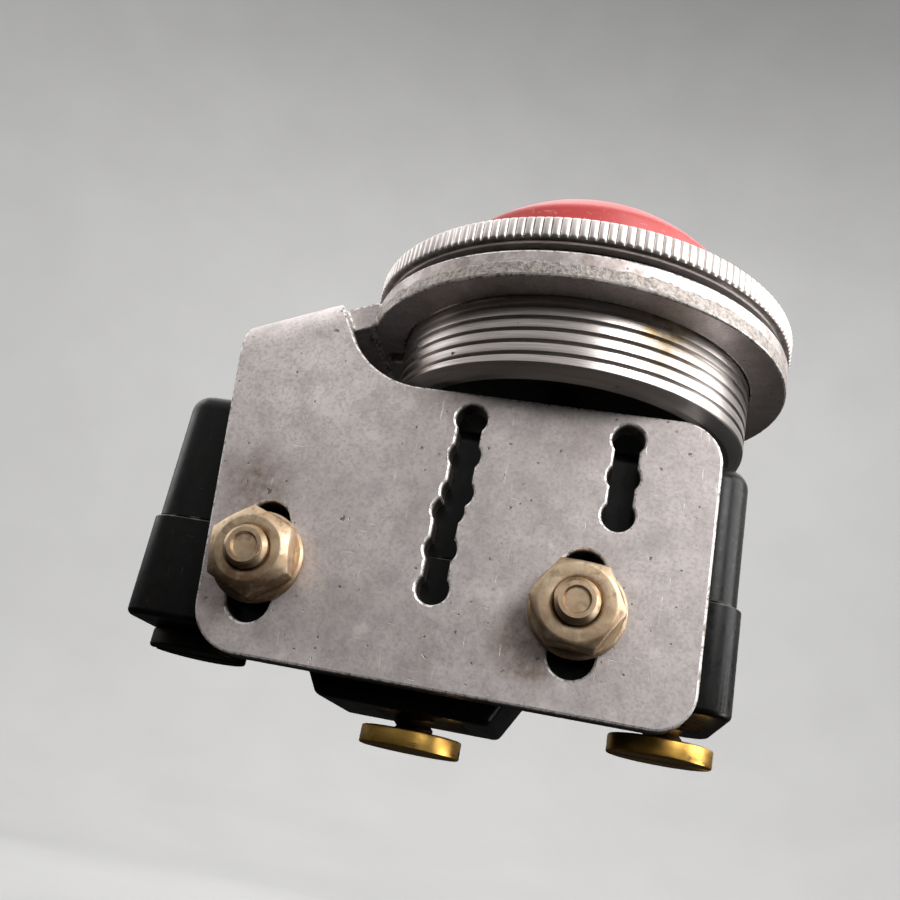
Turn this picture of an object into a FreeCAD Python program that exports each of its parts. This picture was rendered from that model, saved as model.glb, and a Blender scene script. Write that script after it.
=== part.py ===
import FreeCAD, Part
import math
import os

from FreeCAD import Vector

# Panel pushbutton with a snap-action switch on a sheet bracket, in millimetres.
# The origin is on the button's axis in the top face of the flange, where a panel would lie.
# X runs along the bracket's plate, Y towards its back and Z up along the button.

# Button cap
cap_radius = 13.0
cap_top = 14.3
dome_radius = 17.5
cap_edge = 1.0
cap_wall = 1.9
skirt_width = 0.8
skirt_height = 3.4
cap_boss_radius = 3.4
cap_boss_height = 1.0
cap_clearance = 0.25
skirt_clearance = 0.2

# Barrel, its closing plate and the snap ring under it
barrel_wall = 1.93
barrel_drop = 8.75
end_chamfer_width = 1.17
end_chamfer_height = 0.64
lip_height = 1.4
thread_gap = 0.05
guide_thickness = 1.6
guide_hub_height = 1.6
guide_hub_wall = 1.4
snap_thickness = 0.8
snap_width = 2.2
snap_depth = 0.55
snap_rise = 0.8
snap_opening = 6.0

# Gasket and knurled bezel ring
gasket_height = 0.93
gasket_recess = 1.5
ring_width = 3.35
ring_height = 2.17
ring_lid = 0.2
ring_step = 0.35
ring_crown = 0.5
knurl_depth = 0.34
knurl_count = 164
knurl_height = 1.7

# Stem and the two springs
stem_radius = 2.4
stem_chamfer = 0.4
collar_width = 0.5
collar_height = 1.2
pilot_radius = 3.3
pilot_height = 2.4
return_wire = 0.8
return_clearance = 0.65
return_height = 5.03
return_turns = 3.5
overtravel_wire = 0.7
overtravel_clearance = 0.45
overtravel_height = 6.25
overtravel_turns = 4.5
running_gap = 0.05

# Bracket: one sheet with a plate, a neck, a bend and a round flange
sheet = 2.3
flange_width = 3.2
flange_clearance = 0.1
key_depth = 1.5
key_width = 2.0
key_offset = -0.7
plate_beyond_left_hole = 3.8
plate_beyond_right_hole = 9.45
plate_drop = 7.74
plate_clearance = 0.65
plate_taper = 6.1
corner_top_right = 3.4
corner_bottom_right = 3.2
corner_bottom_left = 4.0
neck_lap = 0.93
neck_foot_lap = 3.08
neck_lean = 30.0
neck_fillet = 7.5
neck_tilt = 24.0
bend_inside = 1.6

# Slots in the plate
slot_clearance = 0.06
slot_length = 9.96
slot_drop = 0.2
lobe_radius = 1.3
lobe_pitch = 3.175
lobe_neck = 1.94
lobe_drop = 2.25
lobe_count = 3
long_row_offset = -10.76
long_row_shift = -0.44
long_row_step = 8.0
short_row_offset = 2.0

# Snap-action switch: outside of the case and its standard mounting holes
hole_spacing = 25.4
hole_to_left_end = 11.54
hole_to_right_end = 12.46
hole_clearance = 0.43
plunger_to_hole = 3.94
barrel_to_cover = 2.75
case_thickness = 17.45
cover_rise = 14.4
split_rise = 2.92
base_drop = 5.6
cover_inset = 0.4
case_wall = 2.0
case_corner = 2.5
case_edge = 1.5
base_edge = 0.5
tongue_height = 1.5
tongue_wall = 1.2
moulding_gap = 0.1

# Raised block under the base that carries the middle terminal
block_drop = 3.5
block_top_length = 18.05
block_bottom_length = 14.05
block_offset = -0.3
block_inset = 2.225
block_edge = 0.8

# Switch plunger, blade and contacts
plunger_radius = 2.1
plunger_rise = 2.05
plunger_gap = 0.05
plunger_flange_width = 1.3
plunger_flange_height = 1.0
plunger_pin_radius = 1.4
blade_rise = 6.4
blade_thickness = 0.3
blade_width = 8.0
blade_margin = 0.2
blade_tail = 0.7
blade_slot_width = 0.9
blade_slot_length = 14.0
blade_slot_offset = 1.6
contact_reach = 2.1
contact_radius = 1.6
contact_height = 0.4
contact_gap = 0.8
contact_clearance = 0.05

# Brass terminal straps and screws
strap = 0.9
strap_width = 6.0
common_to_end = 4.35
closed_to_end = 4.6
pad_outer = 3.0
leg_clearance = 1.25
middle_leg_offset = 3.5
anchor_arm = 4.4
rivet_radius = 0.9
rivet_head_width = 0.7
rivet_head_height = 0.6
rivet_play = 0.12
terminal_head_radius = 4.25
terminal_head_height = 1.5
terminal_head_round = 0.35
terminal_shank_radius = 1.7
terminal_shank_length = 5.5
common_backed_off = 0.1
open_backed_off = 1.15
closed_backed_off = 1.65
driver_slot_width = 1.0
driver_slot_depth = 0.7

# Mounting screws, washers and nuts
screw_radius = 1.72
screw_head_radius = 3.3
screw_head_height = 2.2
screw_head_round = 0.7
screw_beyond_nut = 0.92
screw_end_chamfer = 0.34
screw_cup_radius = 1.05
screw_cup_depth = 0.3
washer_radius = 3.73
washer_height = 0.7
nut_across_flats = 6.35
nut_height = 2.35
nut_bevel = 30.0
nut_face_left = 2.62
nut_face_right = 2.92
nut_turn_left = 38.3
nut_turn_right = 57.5

# Radii about the button's axis, from the cap outwards
skirt_radius = cap_radius + skirt_width
lip_radius = cap_radius + cap_clearance
ring_opening = lip_radius + ring_step
barrel_bore = skirt_radius + skirt_clearance
barrel_radius = barrel_bore + barrel_wall
end_radius = barrel_radius - end_chamfer_width
ring_radius = barrel_radius + ring_width
flange_radius = barrel_radius + flange_width
guide_hole = stem_radius + running_gap
guide_hub = guide_hole + guide_hub_wall
return_radius = guide_hub + return_clearance + return_wire / 2
collar_radius = return_radius + return_wire / 2 + collar_width
overtravel_radius = cap_boss_radius + overtravel_clearance + overtravel_wire / 2

# Heights, from the flange up and then down
ring_bottom = gasket_height
ring_top = ring_bottom + ring_height
barrel_top = ring_top - ring_lid
lip_bottom = barrel_top - lip_height
barrel_bottom = -barrel_drop
end_chamfer_top = barrel_bottom + end_chamfer_height
snap_bottom = barrel_bottom + snap_rise
guide_bottom = snap_bottom + snap_thickness
guide_top = guide_bottom + guide_thickness
collar_level = guide_top + return_height
collar_top = collar_level + collar_height
cap_ceiling = collar_top + overtravel_height
cover_top = barrel_bottom - barrel_to_cover
cover_ceiling = cover_top - case_wall
plunger_tip = cover_top + plunger_rise
stem_foot = plunger_tip + plunger_gap
hole_level = cover_top - cover_rise
split_level = hole_level + split_rise
base_bottom = hole_level - base_drop
block_bottom = base_bottom - block_drop
plate_top = barrel_bottom - plate_clearance
plate_bottom = hole_level - plate_drop
lobe_top = plate_top - lobe_drop
slot_level = hole_level - slot_drop
blade_level = hole_level + blade_rise
blade_top = blade_level + blade_thickness
upper_contact_bottom = blade_top + contact_height + contact_clearance
lower_contact_top = blade_level - contact_height - contact_gap - contact_clearance

# Places along the plate
hole_radius = screw_radius + hole_clearance
slot_width = 2 * (screw_radius + slot_clearance)
hole_right = plunger_to_hole
hole_left = hole_right - hole_spacing
case_right = hole_right + hole_to_right_end
case_left = hole_left - hole_to_left_end
plate_right = hole_right + plate_beyond_right_hole
plate_left = hole_left - plate_beyond_left_hole
neck_right = neck_lap - flange_radius
neck_foot = neck_foot_lap - flange_radius
long_row_x = hole_right + long_row_offset
short_row_x = hole_right + short_row_offset
common_x = case_left + common_to_end
closed_x = case_right - closed_to_end
open_x = (common_x + closed_x) / 2
common_leg = hole_left - hole_radius - leg_clearance - strap
closed_leg = hole_right + hole_radius + leg_clearance
open_leg = open_x + middle_leg_offset
contact_x = closed_leg - contact_reach
blade_start = common_leg - blade_tail
blade_end = contact_x + contact_radius + blade_margin
hinge_x = common_leg + anchor_arm
rivet_x = common_leg + (anchor_arm + strap) / 2

# Places through the plate's thickness
plate_back = -case_thickness / 2
plate_front = plate_back - sheet
bend_middle = plate_back + bend_inside
washer_front = plate_front - washer_height
nut_front = washer_front - nut_height
screw_end = nut_front - screw_beyond_nut

up = Vector(0, 0, 1)
back = Vector(0, 1, 0)


def polygon(points):
    """Flat face through points."""
    return Part.Face(Part.makePolygon(points + [points[0]]))


def revolved(profile):
    """Solid turned about the Z axis from a profile of radius and height pairs."""
    face = polygon([Vector(radius, 0, height) for radius, height in profile])
    return face.revolve(Vector(), up, 360)


def rod(radius, low, high, x=0.0, y=0.0):
    """Upright cylinder."""
    return Part.makeCylinder(radius, high - low, Vector(x, y, low), up)


def bar(radius, front, rear, x, z):
    """Cylinder that lies along Y."""
    return Part.makeCylinder(radius, rear - front, Vector(x, front, z), back)


def block(low, high):
    """Box between two corners."""
    size = [top - bottom for bottom, top in zip(low, high)]
    return Part.makeBox(*size, Vector(*low))


def rounded_outline(corners, plane):
    """Wire through (a, b, radius) corners, with a tangent arc at each corner that has a radius."""
    edges = []
    previous_end = None
    first_start = None
    count = len(corners)
    for index, (a, b, radius) in enumerate(corners):
        here = Vector(a, b, 0)
        before = Vector(*corners[index - 1][:2], 0)
        after = Vector(*corners[(index + 1) % count][:2], 0)
        arrive = (before - here).normalize()
        leave = (after - here).normalize()
        start = here
        end = here
        if radius > 0:
            half = arrive.getAngle(leave) / 2
            setback = radius / math.tan(half)
            start = here + arrive * setback
            end = here + leave * setback
            bisector = (arrive + leave).normalize()
            middle = here + bisector * (radius / math.sin(half) - radius)
        if previous_end is not None:
            edges.append(Part.LineSegment(plane(previous_end), plane(start)).toShape())
        else:
            first_start = start
        if radius > 0:
            edges.append(Part.Arc(plane(start), plane(middle), plane(end)).toShape())
        previous_end = end
    edges.append(Part.LineSegment(plane(previous_end), plane(first_start)).toShape())
    return Part.Wire(edges)


def upright_plate(corners, front, rear):
    """Plate with an outline in X and Z, between two places in Y."""
    wire = rounded_outline(corners, lambda point: Vector(point.x, front, point.y))
    return Part.Face(wire).extrude(back * (rear - front))


def level_plate(corners, low, high):
    """Plate with an outline in X and Y, between two heights."""
    wire = rounded_outline(corners, lambda point: Vector(point.x, point.y, low))
    return Part.Face(wire).extrude(up * (high - low))


def fused(shapes):
    """One solid from shapes that meet, without seams on flat faces."""
    return shapes[0].multiFuse(shapes[1:]).removeSplitter()


def cut_all(shape, tools):
    """Shape less every tool."""
    for tool in tools:
        shape = shape.cut(tool)
    return shape


def edges_where(shape, test):
    """Edges whose middle point passes a test."""
    return [edge for edge in shape.Edges if test(edge.BoundBox.Center, edge.BoundBox)]


def coil(radius, wire, low, high, turns):
    """Compression spring between two flat seats, as half turns that tilt one after the other."""
    half_turns = round(2 * turns)
    climb = (high - low - wire) / half_turns
    level = low + wire / 2
    side = 1
    pieces = []
    for _ in range(half_turns):
        start = Vector(side * radius, 0, level)
        section = Part.Face(Part.Wire(Part.Circle(start, back, wire / 2).toShape()))
        middle = Vector(0, 0, level + climb / 2)
        across_diameter = Vector(side * climb, 0, 2 * radius)
        pieces.append(section.revolve(middle, across_diameter, 180))
        level += climb
        side = -side
    return fused(pieces)


def left_edge(height):
    """X of the plate's slanted left edge at a height."""
    return plate_left - (height - plate_bottom) * math.tan(math.radians(plate_taper))


def neck_side(height):
    """X of the neck's leaning right edge at a height."""
    return neck_foot - (height - plate_top) * math.tan(math.radians(neck_lean))


def bent_neck():
    """Sheet that rises from the plate, bends back and slopes up to the level flange."""
    tilt = math.radians(neck_tilt)
    along = Vector(math.cos(tilt), 0, math.sin(tilt))
    rise = Vector(-math.sin(tilt), 0, math.cos(tilt))
    top = -neck_right * math.sin(tilt)
    axis_level = top - sheet - bend_inside
    foot = axis_level - sheet

    def place(y, level):
        return back * y + rise * level - along * (2 * flange_radius)

    def arc(radius):
        corner = radius * math.sqrt(0.5)
        points = [(bend_middle - radius, axis_level), (bend_middle - corner, axis_level + corner)]
        points.append((bend_middle, axis_level + radius))
        return Part.Arc(*[place(*point) for point in points]).toShape()

    def line(start, end):
        return Part.LineSegment(place(*start), place(*end)).toShape()

    outer = sheet + bend_inside
    rear = flange_radius
    section = Part.Wire([
        line((plate_front, foot), (plate_front, axis_level)),
        arc(outer),
        line((bend_middle, top), (rear, top)),
        line((rear, top), (rear, top - sheet)),
        line((rear, top - sheet), (bend_middle, top - sheet)),
        arc(bend_inside),
        line((plate_back, axis_level), (plate_back, foot)),
        line((plate_back, foot), (plate_front, foot)),
    ])
    strip = Part.Face(section).extrude(along * (2 * flange_radius))
    neck_left = left_edge(0)
    _, tangent = tangent_to_flange(neck_left)
    plan = polygon([
        Vector(neck_left, plate_front, -flange_radius),
        Vector(neck_right, plate_front, -flange_radius),
        Vector(neck_right, tangent(neck_right), -flange_radius),
        Vector(neck_left, bend_middle, -flange_radius),
    ]).extrude(up * (2 * flange_radius))
    elevation = polygon([
        Vector(left_edge(plate_bottom), plate_front, plate_bottom),
        Vector(neck_right, plate_front, plate_bottom),
        Vector(neck_right, plate_front, 0),
        Vector(neck_left, plate_front, 0),
    ]).extrude(back * (2 * flange_radius))
    relief = polygon([
        Vector(neck_side(plate_top), plate_front, plate_top),
        Vector(0, plate_front, plate_top),
        Vector(0, plate_front, sheet),
        Vector(neck_side(sheet), plate_front, sheet),
    ]).extrude(back * (bend_middle - plate_front))
    return strip.common(plan).common(elevation).cut(relief)


def tangent_to_flange(neck_left):
    """Where the edge from the bend's left end touches the flange, and that edge's Y at any X."""
    distance = math.hypot(neck_left, bend_middle)
    angle = math.atan2(bend_middle, neck_left) % (2 * math.pi) - math.acos(flange_radius / distance)
    touch = Vector(flange_radius * math.cos(angle), flange_radius * math.sin(angle), 0)
    slope = (touch.y - bend_middle) / (touch.x - neck_left)
    return touch, lambda x: bend_middle + slope * (x - neck_left)


def scalloped_slot(x, high):
    """Row of round lobes joined by a narrower slot, cut through the plate."""
    low = high - lobe_pitch * (lobe_count - 1)
    levels = [low + lobe_pitch * step for step in range(lobe_count)]
    tools = [bar(lobe_radius, plate_front, plate_back, x, level) for level in levels]
    tools.append(block((x - lobe_neck / 2, plate_front, low), (x + lobe_neck / 2, plate_back, high)))
    return fused(tools)


def obround_slot(x):
    """Upright slot with round ends for a mounting screw."""
    half = (slot_length - slot_width) / 2
    tools = [bar(slot_width / 2, plate_front, plate_back, x, slot_level + end) for end in (-half, half)]
    low = (x - slot_width / 2, plate_front, slot_level - half)
    high = (x + slot_width / 2, plate_back, slot_level + half)
    return fused(tools + [block(low, high)])


def make_bracket():
    tilt = math.radians(neck_tilt)
    axis_level = -neck_right * math.sin(tilt) - sheet - bend_inside

    def crease(x):
        return (axis_level + x * math.sin(tilt)) / math.cos(tilt)

    slant = math.tan(math.radians(plate_taper))
    corner_height = crease(left_edge(0)) / (1 + slant * math.tan(tilt))
    corner_left = left_edge(corner_height)
    lean = math.tan(math.radians(neck_lean))
    side_x = (neck_side(0) - lean * crease(0)) / (1 + lean * math.tan(tilt))
    side_length = math.hypot(side_x - neck_foot, crease(side_x) - plate_top)
    fillet_limit = 0.95 * side_length * math.tan(math.radians(45 + neck_lean / 2))
    outline = [
        (corner_left, corner_height, 0),
        (side_x, crease(side_x), 0),
        (neck_foot, plate_top, min(neck_fillet, fillet_limit)),
        (plate_right, plate_top, corner_top_right),
        (plate_right, plate_bottom, corner_bottom_right),
        (plate_left, plate_bottom, corner_bottom_left),
    ]
    plate = upright_plate(outline, plate_front, plate_back)
    slots = [obround_slot(hole_left), obround_slot(hole_right)]
    slots.append(scalloped_slot(long_row_x, lobe_top))
    slots.append(scalloped_slot(long_row_x + long_row_shift, lobe_top - long_row_step))
    slots.append(scalloped_slot(short_row_x, lobe_top))
    plate = cut_all(plate, slots)
    touch, tangent = tangent_to_flange(left_edge(0))
    web = polygon([
        Vector(neck_right, bend_middle, -sheet),
        Vector(neck_right, tangent(neck_right), -sheet),
        Vector(touch.x, touch.y, -sheet),
        Vector(0, 0, -sheet),
        Vector(-math.sqrt(flange_radius**2 - bend_middle**2), bend_middle, -sheet),
    ]).extrude(up * sheet)
    beyond_fold = block(
        (-2 * flange_radius, -flange_radius, -2 * sheet), (neck_right, flange_radius, sheet)
    )
    disc = rod(flange_radius, -sheet, 0).fuse(web).cut(beyond_fold)
    bore = barrel_radius + flange_clearance
    hole = rod(bore, -2 * sheet, sheet)
    key = block(
        (-bore - key_depth, key_offset - key_width / 2, -2 * sheet),
        (0, key_offset + key_width / 2, sheet),
    )
    return cut_all(fused([plate, bent_neck(), disc]), [hole, key])


def make_barrel():
    groove = barrel_bore + snap_depth
    return revolved([
        (barrel_bore, barrel_bottom),
        (end_radius, barrel_bottom),
        (barrel_radius, end_chamfer_top),
        (barrel_radius, barrel_top),
        (lip_radius, barrel_top),
        (lip_radius, lip_bottom),
        (barrel_bore, lip_bottom),
        (barrel_bore, guide_bottom),
        (groove, guide_bottom),
        (groove, snap_bottom),
        (barrel_bore, snap_bottom),
    ])


def make_guide_plate():
    rim = barrel_bore - running_gap
    hub_top = guide_top + guide_hub_height
    return revolved([
        (guide_hole, guide_bottom),
        (rim, guide_bottom),
        (rim, guide_top),
        (guide_hub, guide_top),
        (guide_hub, hub_top),
        (guide_hole, hub_top),
    ])


def make_retaining_ring():
    outer = barrel_bore + snap_depth - running_gap
    ring = rod(outer, snap_bottom, guide_bottom)
    ring = ring.cut(rod(barrel_bore - snap_width, snap_bottom, guide_bottom))
    gap = block((0, -snap_opening / 2, snap_bottom), (outer, snap_opening / 2, guide_bottom))
    return ring.cut(gap)


def make_panel_gasket():
    inner = barrel_radius + thread_gap
    return rod(ring_radius - gasket_recess, 0, gasket_height).cut(rod(inner, 0, gasket_height))


def make_bezel_ring():
    root = ring_radius - knurl_depth
    bore = barrel_radius + thread_gap
    knurl_bottom = ring_bottom + (ring_height - knurl_height) / 2
    knurl_top = knurl_bottom + knurl_height
    points = []
    for tooth in range(knurl_count):
        for offset, radius in ((0.0, root), (0.3, ring_radius), (0.7, ring_radius)):
            angle = 2 * math.pi * (tooth + offset) / knurl_count
            points.append(Vector(radius * math.cos(angle), radius * math.sin(angle), knurl_bottom))
    band = polygon(points).extrude(up * knurl_height)
    band = band.cut(rod(bore, knurl_bottom, knurl_top))
    step = knurl_bottom - ring_bottom
    lower = revolved([
        (bore, ring_bottom),
        (root - 2 * step, ring_bottom),
        (root - step, knurl_bottom),
        (bore, knurl_bottom),
    ])
    cap_level = max(knurl_top, barrel_top)
    upper = revolved([
        (bore, knurl_top),
        (root, knurl_top),
        (root - step, ring_top),
        (ring_opening + ring_crown, ring_top + ring_crown),
        (ring_opening, ring_top + ring_crown),
        (ring_opening, cap_level),
        (bore, cap_level),
    ])
    return fused([band, lower, upper])


def make_button_cap():
    fall = dome_radius - math.sqrt(dome_radius**2 - cap_radius**2)
    shoulder = cap_top - fall
    skirt_top = lip_bottom - running_gap
    skirt_bottom = skirt_top - skirt_height
    inner = cap_radius - cap_wall
    half = math.asin(cap_radius / dome_radius) / 2
    middle_radius = dome_radius * math.sin(half)
    middle_level = cap_top - dome_radius * (1 - math.cos(half))
    crown = Part.Arc(
        Vector(0, 0, cap_top), Vector(middle_radius, 0, middle_level), Vector(cap_radius, 0, shoulder)
    ).toShape()
    corners = [
        (cap_radius, shoulder),
        (cap_radius, skirt_top),
        (skirt_radius, skirt_top),
        (skirt_radius, skirt_bottom),
        (inner, skirt_bottom),
        (inner, cap_ceiling),
        (cap_boss_radius, cap_ceiling),
        (cap_boss_radius, cap_ceiling - cap_boss_height),
        (0, cap_ceiling - cap_boss_height),
        (0, cap_top),
    ]
    sides = Part.makePolygon([Vector(radius, 0, level) for radius, level in corners])
    profile = Part.Wire([crown] + sides.Edges)
    cap = Part.Face(profile).revolve(Vector(), up, 360)
    rim = edges_where(cap, lambda middle, box: abs(box.ZMax - shoulder) < 1e-6 and box.ZLength < 1e-6)
    return cap.makeFillet(cap_edge, rim)


def make_actuator_stem():
    return revolved([
        (0, stem_foot),
        (stem_radius - stem_chamfer, stem_foot),
        (stem_radius, stem_foot + stem_chamfer),
        (stem_radius, collar_level),
        (collar_radius, collar_level),
        (collar_radius, collar_top),
        (pilot_radius, collar_top),
        (pilot_radius, collar_top + pilot_height),
        (0, collar_top + pilot_height),
    ])


def make_return_spring():
    return coil(return_radius, return_wire, guide_top, collar_level, return_turns)


def make_overtravel_spring():
    return coil(overtravel_radius, overtravel_wire, collar_top, cap_ceiling, overtravel_turns)


def case_shell(inset, low, high):
    """Rounded block of the switch case, drawn in on its ends and back by an inset."""
    rear = case_thickness / 2 - inset
    left = case_left + inset
    right = case_right - inset
    front = plate_back
    outline = [
        (left, front, case_corner),
        (right, front, case_corner),
        (right, rear, case_corner),
        (left, rear, case_corner),
    ]
    return level_plate(outline, low, high)


def case_cavity(gap, low, high):
    """Room inside the cover's walls, drawn in by a gap."""
    wall = cover_inset + case_wall + gap
    half = case_thickness / 2 - wall
    return block((case_left + wall, -half, low), (case_right - wall, half, high))


def terminal_places():
    """X, under-face height and slack of the common, normally open and normally closed terminals."""
    return [
        (common_x, base_bottom, common_backed_off),
        (open_x, block_bottom, open_backed_off),
        (closed_x, base_bottom, closed_backed_off),
    ]


def middle_block():
    """Tapered block under the base."""
    half_depth = case_thickness / 2 - block_inset
    top = block_top_length / 2
    bottom = block_bottom_length / 2
    middle = open_x + block_offset
    face = polygon([
        Vector(middle - top, -half_depth, base_bottom),
        Vector(middle + top, -half_depth, base_bottom),
        Vector(middle + bottom, -half_depth, block_bottom),
        Vector(middle - bottom, -half_depth, block_bottom),
    ])
    solid = face.extrude(back * (2 * half_depth))
    rim = edges_where(solid, lambda centre, box: box.ZMin < base_bottom - 1e-6)
    return solid.makeFillet(block_edge, rim)


def make_switch_base(terminals):
    shell = case_shell(0, base_bottom, split_level)
    rim = edges_where(shell, lambda middle, box: abs(box.ZMax - base_bottom) < 1e-6)
    shell = shell.makeFillet(base_edge, rim)
    tongue_top = split_level + tongue_height
    tongue = case_cavity(moulding_gap, split_level, tongue_top)
    tongue = tongue.cut(case_cavity(moulding_gap + tongue_wall, split_level, tongue_top))
    base = fused([shell, middle_block(), tongue])
    holes = []
    for x in (hole_left, hole_right):
        holes.append(bar(hole_radius, -case_thickness, case_thickness, x, hole_level))
    for x, level, _ in terminal_places():
        depth = terminal_shank_length + thread_gap
        holes.append(rod(terminal_shank_radius + thread_gap, level, level + depth, x))
    return cut_all(base, holes + terminals)


def make_switch_cover():
    shell = case_shell(cover_inset, split_level, cover_top)
    rim = edges_where(shell, lambda middle, box: abs(box.ZMin - cover_top) < 1e-6)
    shell = shell.makeFillet(case_edge, rim)
    shell = shell.cut(case_cavity(0, split_level, cover_ceiling))
    return shell.cut(rod(plunger_radius + running_gap, cover_ceiling, cover_top))


def make_switch_plunger():
    flange_radius_inside = plunger_radius + plunger_flange_width
    flange_top = cover_ceiling - plunger_gap
    flange_bottom = flange_top - plunger_flange_height
    pin_end = blade_top + 2 * plunger_gap
    plunger = revolved([
        (0, pin_end),
        (plunger_pin_radius, pin_end),
        (plunger_pin_radius, flange_bottom),
        (flange_radius_inside, flange_bottom),
        (flange_radius_inside, flange_top),
        (plunger_radius, flange_top),
        (plunger_radius, plunger_tip),
        (0, plunger_tip),
    ])
    rim = edges_where(plunger, lambda middle, box: abs(box.ZMin - plunger_tip) < 1e-6)
    return plunger.makeFillet(stem_chamfer, rim)


def make_contact_blade():
    half = blade_width / 2
    outline = [
        (blade_start, -half, blade_slot_width),
        (blade_end, -half, half / 2),
        (blade_end, half, half / 2),
        (blade_start, half, blade_slot_width),
    ]
    blade = level_plate(outline, blade_level, blade_top)
    middle = (hinge_x + contact_x) / 2
    slots = []
    for side in (-blade_slot_offset, blade_slot_offset):
        low = (middle - blade_slot_length / 2, side - blade_slot_width / 2, blade_level)
        high = (middle + blade_slot_length / 2, side + blade_slot_width / 2, blade_top)
        slots.append(block(low, high))
    rivet_hole = rod(rivet_radius, blade_level, blade_top, rivet_x)
    contact_hole = rod(contact_radius / 2, blade_level, blade_top, contact_x)
    return cut_all(blade, slots + [rivet_hole, contact_hole])


def make_moving_contact():
    heads = rod(contact_radius, blade_level - contact_height, blade_level, contact_x)
    upper = rod(contact_radius, blade_top, blade_top + contact_height, contact_x)
    neck = rod(contact_radius / 2, blade_level, blade_top, contact_x)
    return fused([heads, upper, neck])


def make_blade_rivet():
    seat = blade_level - strap - rivet_play
    head_radius = rivet_radius + rivet_head_width
    return fused([
        rod(rivet_radius, seat, blade_top, rivet_x),
        rod(head_radius, blade_top, blade_top + rivet_head_height, rivet_x),
        rod(head_radius, seat - rivet_head_height, seat, rivet_x),
    ])


def strap_piece(left, right, low, high):
    """Straight run of terminal strap."""
    return block((left, -strap_width / 2, low), (right, strap_width / 2, high))


def terminal_hole(x, level):
    """Hole through a terminal's pad for its screw."""
    return rod(terminal_shank_radius + thread_gap, level, level + strap, x)


def make_common_terminal():
    terminal = fused([
        strap_piece(common_x - pad_outer, common_leg + strap, base_bottom, base_bottom + strap),
        strap_piece(common_leg, common_leg + strap, base_bottom, blade_level),
        strap_piece(common_leg, hinge_x, blade_level - strap, blade_level),
    ])
    rivet_hole = rod(rivet_radius + rivet_play, blade_level - strap, blade_level, rivet_x)
    return cut_all(terminal, [rivet_hole, terminal_hole(common_x, base_bottom)])


def make_normally_open_terminal():
    arm_top = lower_contact_top - 2 * contact_height
    terminal = fused([
        strap_piece(open_x - pad_outer, open_leg + strap, block_bottom, block_bottom + strap),
        strap_piece(open_leg, open_leg + strap, block_bottom, arm_top),
        strap_piece(open_leg, contact_x + contact_radius, arm_top - strap, arm_top),
    ])
    return terminal.cut(terminal_hole(open_x, block_bottom))


def make_normally_closed_terminal():
    arm_bottom = upper_contact_bottom + 2 * contact_height
    terminal = fused([
        strap_piece(closed_leg, closed_x + pad_outer, base_bottom, base_bottom + strap),
        strap_piece(closed_leg, closed_leg + strap, base_bottom, arm_bottom + strap),
        strap_piece(contact_x - contact_radius, closed_leg + strap, arm_bottom, arm_bottom + strap),
    ])
    return terminal.cut(terminal_hole(closed_x, base_bottom))


def make_upper_contact():
    return rod(contact_radius, upper_contact_bottom, upper_contact_bottom + 2 * contact_height, contact_x)


def make_lower_contact():
    return rod(contact_radius, lower_contact_top - 2 * contact_height, lower_contact_top, contact_x)


def make_terminal_screws():
    screws = []
    for x, level, backed_off in terminal_places():
        head_top = level - backed_off
        head_bottom = head_top - terminal_head_height
        head = rod(terminal_head_radius, head_bottom, head_top, x)
        rims = edges_where(head, lambda middle, box: box.ZLength < 1e-6)
        head = head.makeFillet(terminal_head_round, rims)
        slot = block(
            (x - terminal_head_radius, -driver_slot_width / 2, head_bottom),
            (x + terminal_head_radius, driver_slot_width / 2, head_bottom + driver_slot_depth),
        )
        shank = rod(terminal_shank_radius, head_top, head_top + terminal_shank_length, x)
        screws.append(fused([head.cut(slot), shank]))
    return Part.makeCompound(screws)


def make_mounting_screws():
    screws = []
    rear = case_thickness / 2
    for x in (hole_left, hole_right):
        head = bar(screw_head_radius, rear, rear + screw_head_height, x, hole_level)
        rim = edges_where(head, lambda middle, box: box.YMin > rear + screw_head_height / 2)
        head = head.makeFillet(screw_head_round, rim)
        head_end = rear + screw_head_height
        half_slot = driver_slot_width / 2
        slot = block(
            (x - screw_head_radius, head_end - driver_slot_depth, hole_level - half_slot),
            (x + screw_head_radius, head_end, hole_level + half_slot),
        )
        shank = bar(screw_radius, screw_end, rear, x, hole_level)
        rim = edges_where(shank, lambda middle, box: box.YMax < screw_end + 1e-6)
        shank = shank.makeChamfer(screw_end_chamfer, rim)
        cup = bar(screw_cup_radius, screw_end, screw_end + screw_cup_depth, x, hole_level)
        screws.append(fused([head.cut(slot), shank]).cut(cup))
    return Part.makeCompound(screws)


def make_mounting_washers():
    washers = []
    for x in (hole_left, hole_right):
        washer = bar(washer_radius, washer_front, plate_front, x, hole_level)
        hole = bar(screw_radius + thread_gap, washer_front, plate_front, x, hole_level)
        washers.append(washer.cut(hole))
    return Part.makeCompound(washers)


def make_mounting_nuts():
    corner = nut_across_flats / math.sqrt(3)
    growth = nut_height / math.tan(math.radians(nut_bevel))
    looks = [
        (hole_left, nut_turn_left, nut_face_left),
        (hole_right, nut_turn_right, nut_face_right),
    ]
    nuts = []
    for x, turn, face in looks:
        points = []
        for step in range(6):
            angle = math.radians(60 * step + turn)
            across = corner * math.cos(angle)
            rise = corner * math.sin(angle)
            points.append(Vector(x + across, nut_front, hole_level + rise))
        hexagon = polygon(points).extrude(back * nut_height)
        bevel = Part.makeCone(face, face + growth, nut_height, Vector(x, nut_front, hole_level), back)
        nut = hexagon.common(bevel)
        nuts.append(nut.cut(bar(screw_radius + thread_gap, nut_front, washer_front, x, hole_level)))
    return Part.makeCompound(nuts)


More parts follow.
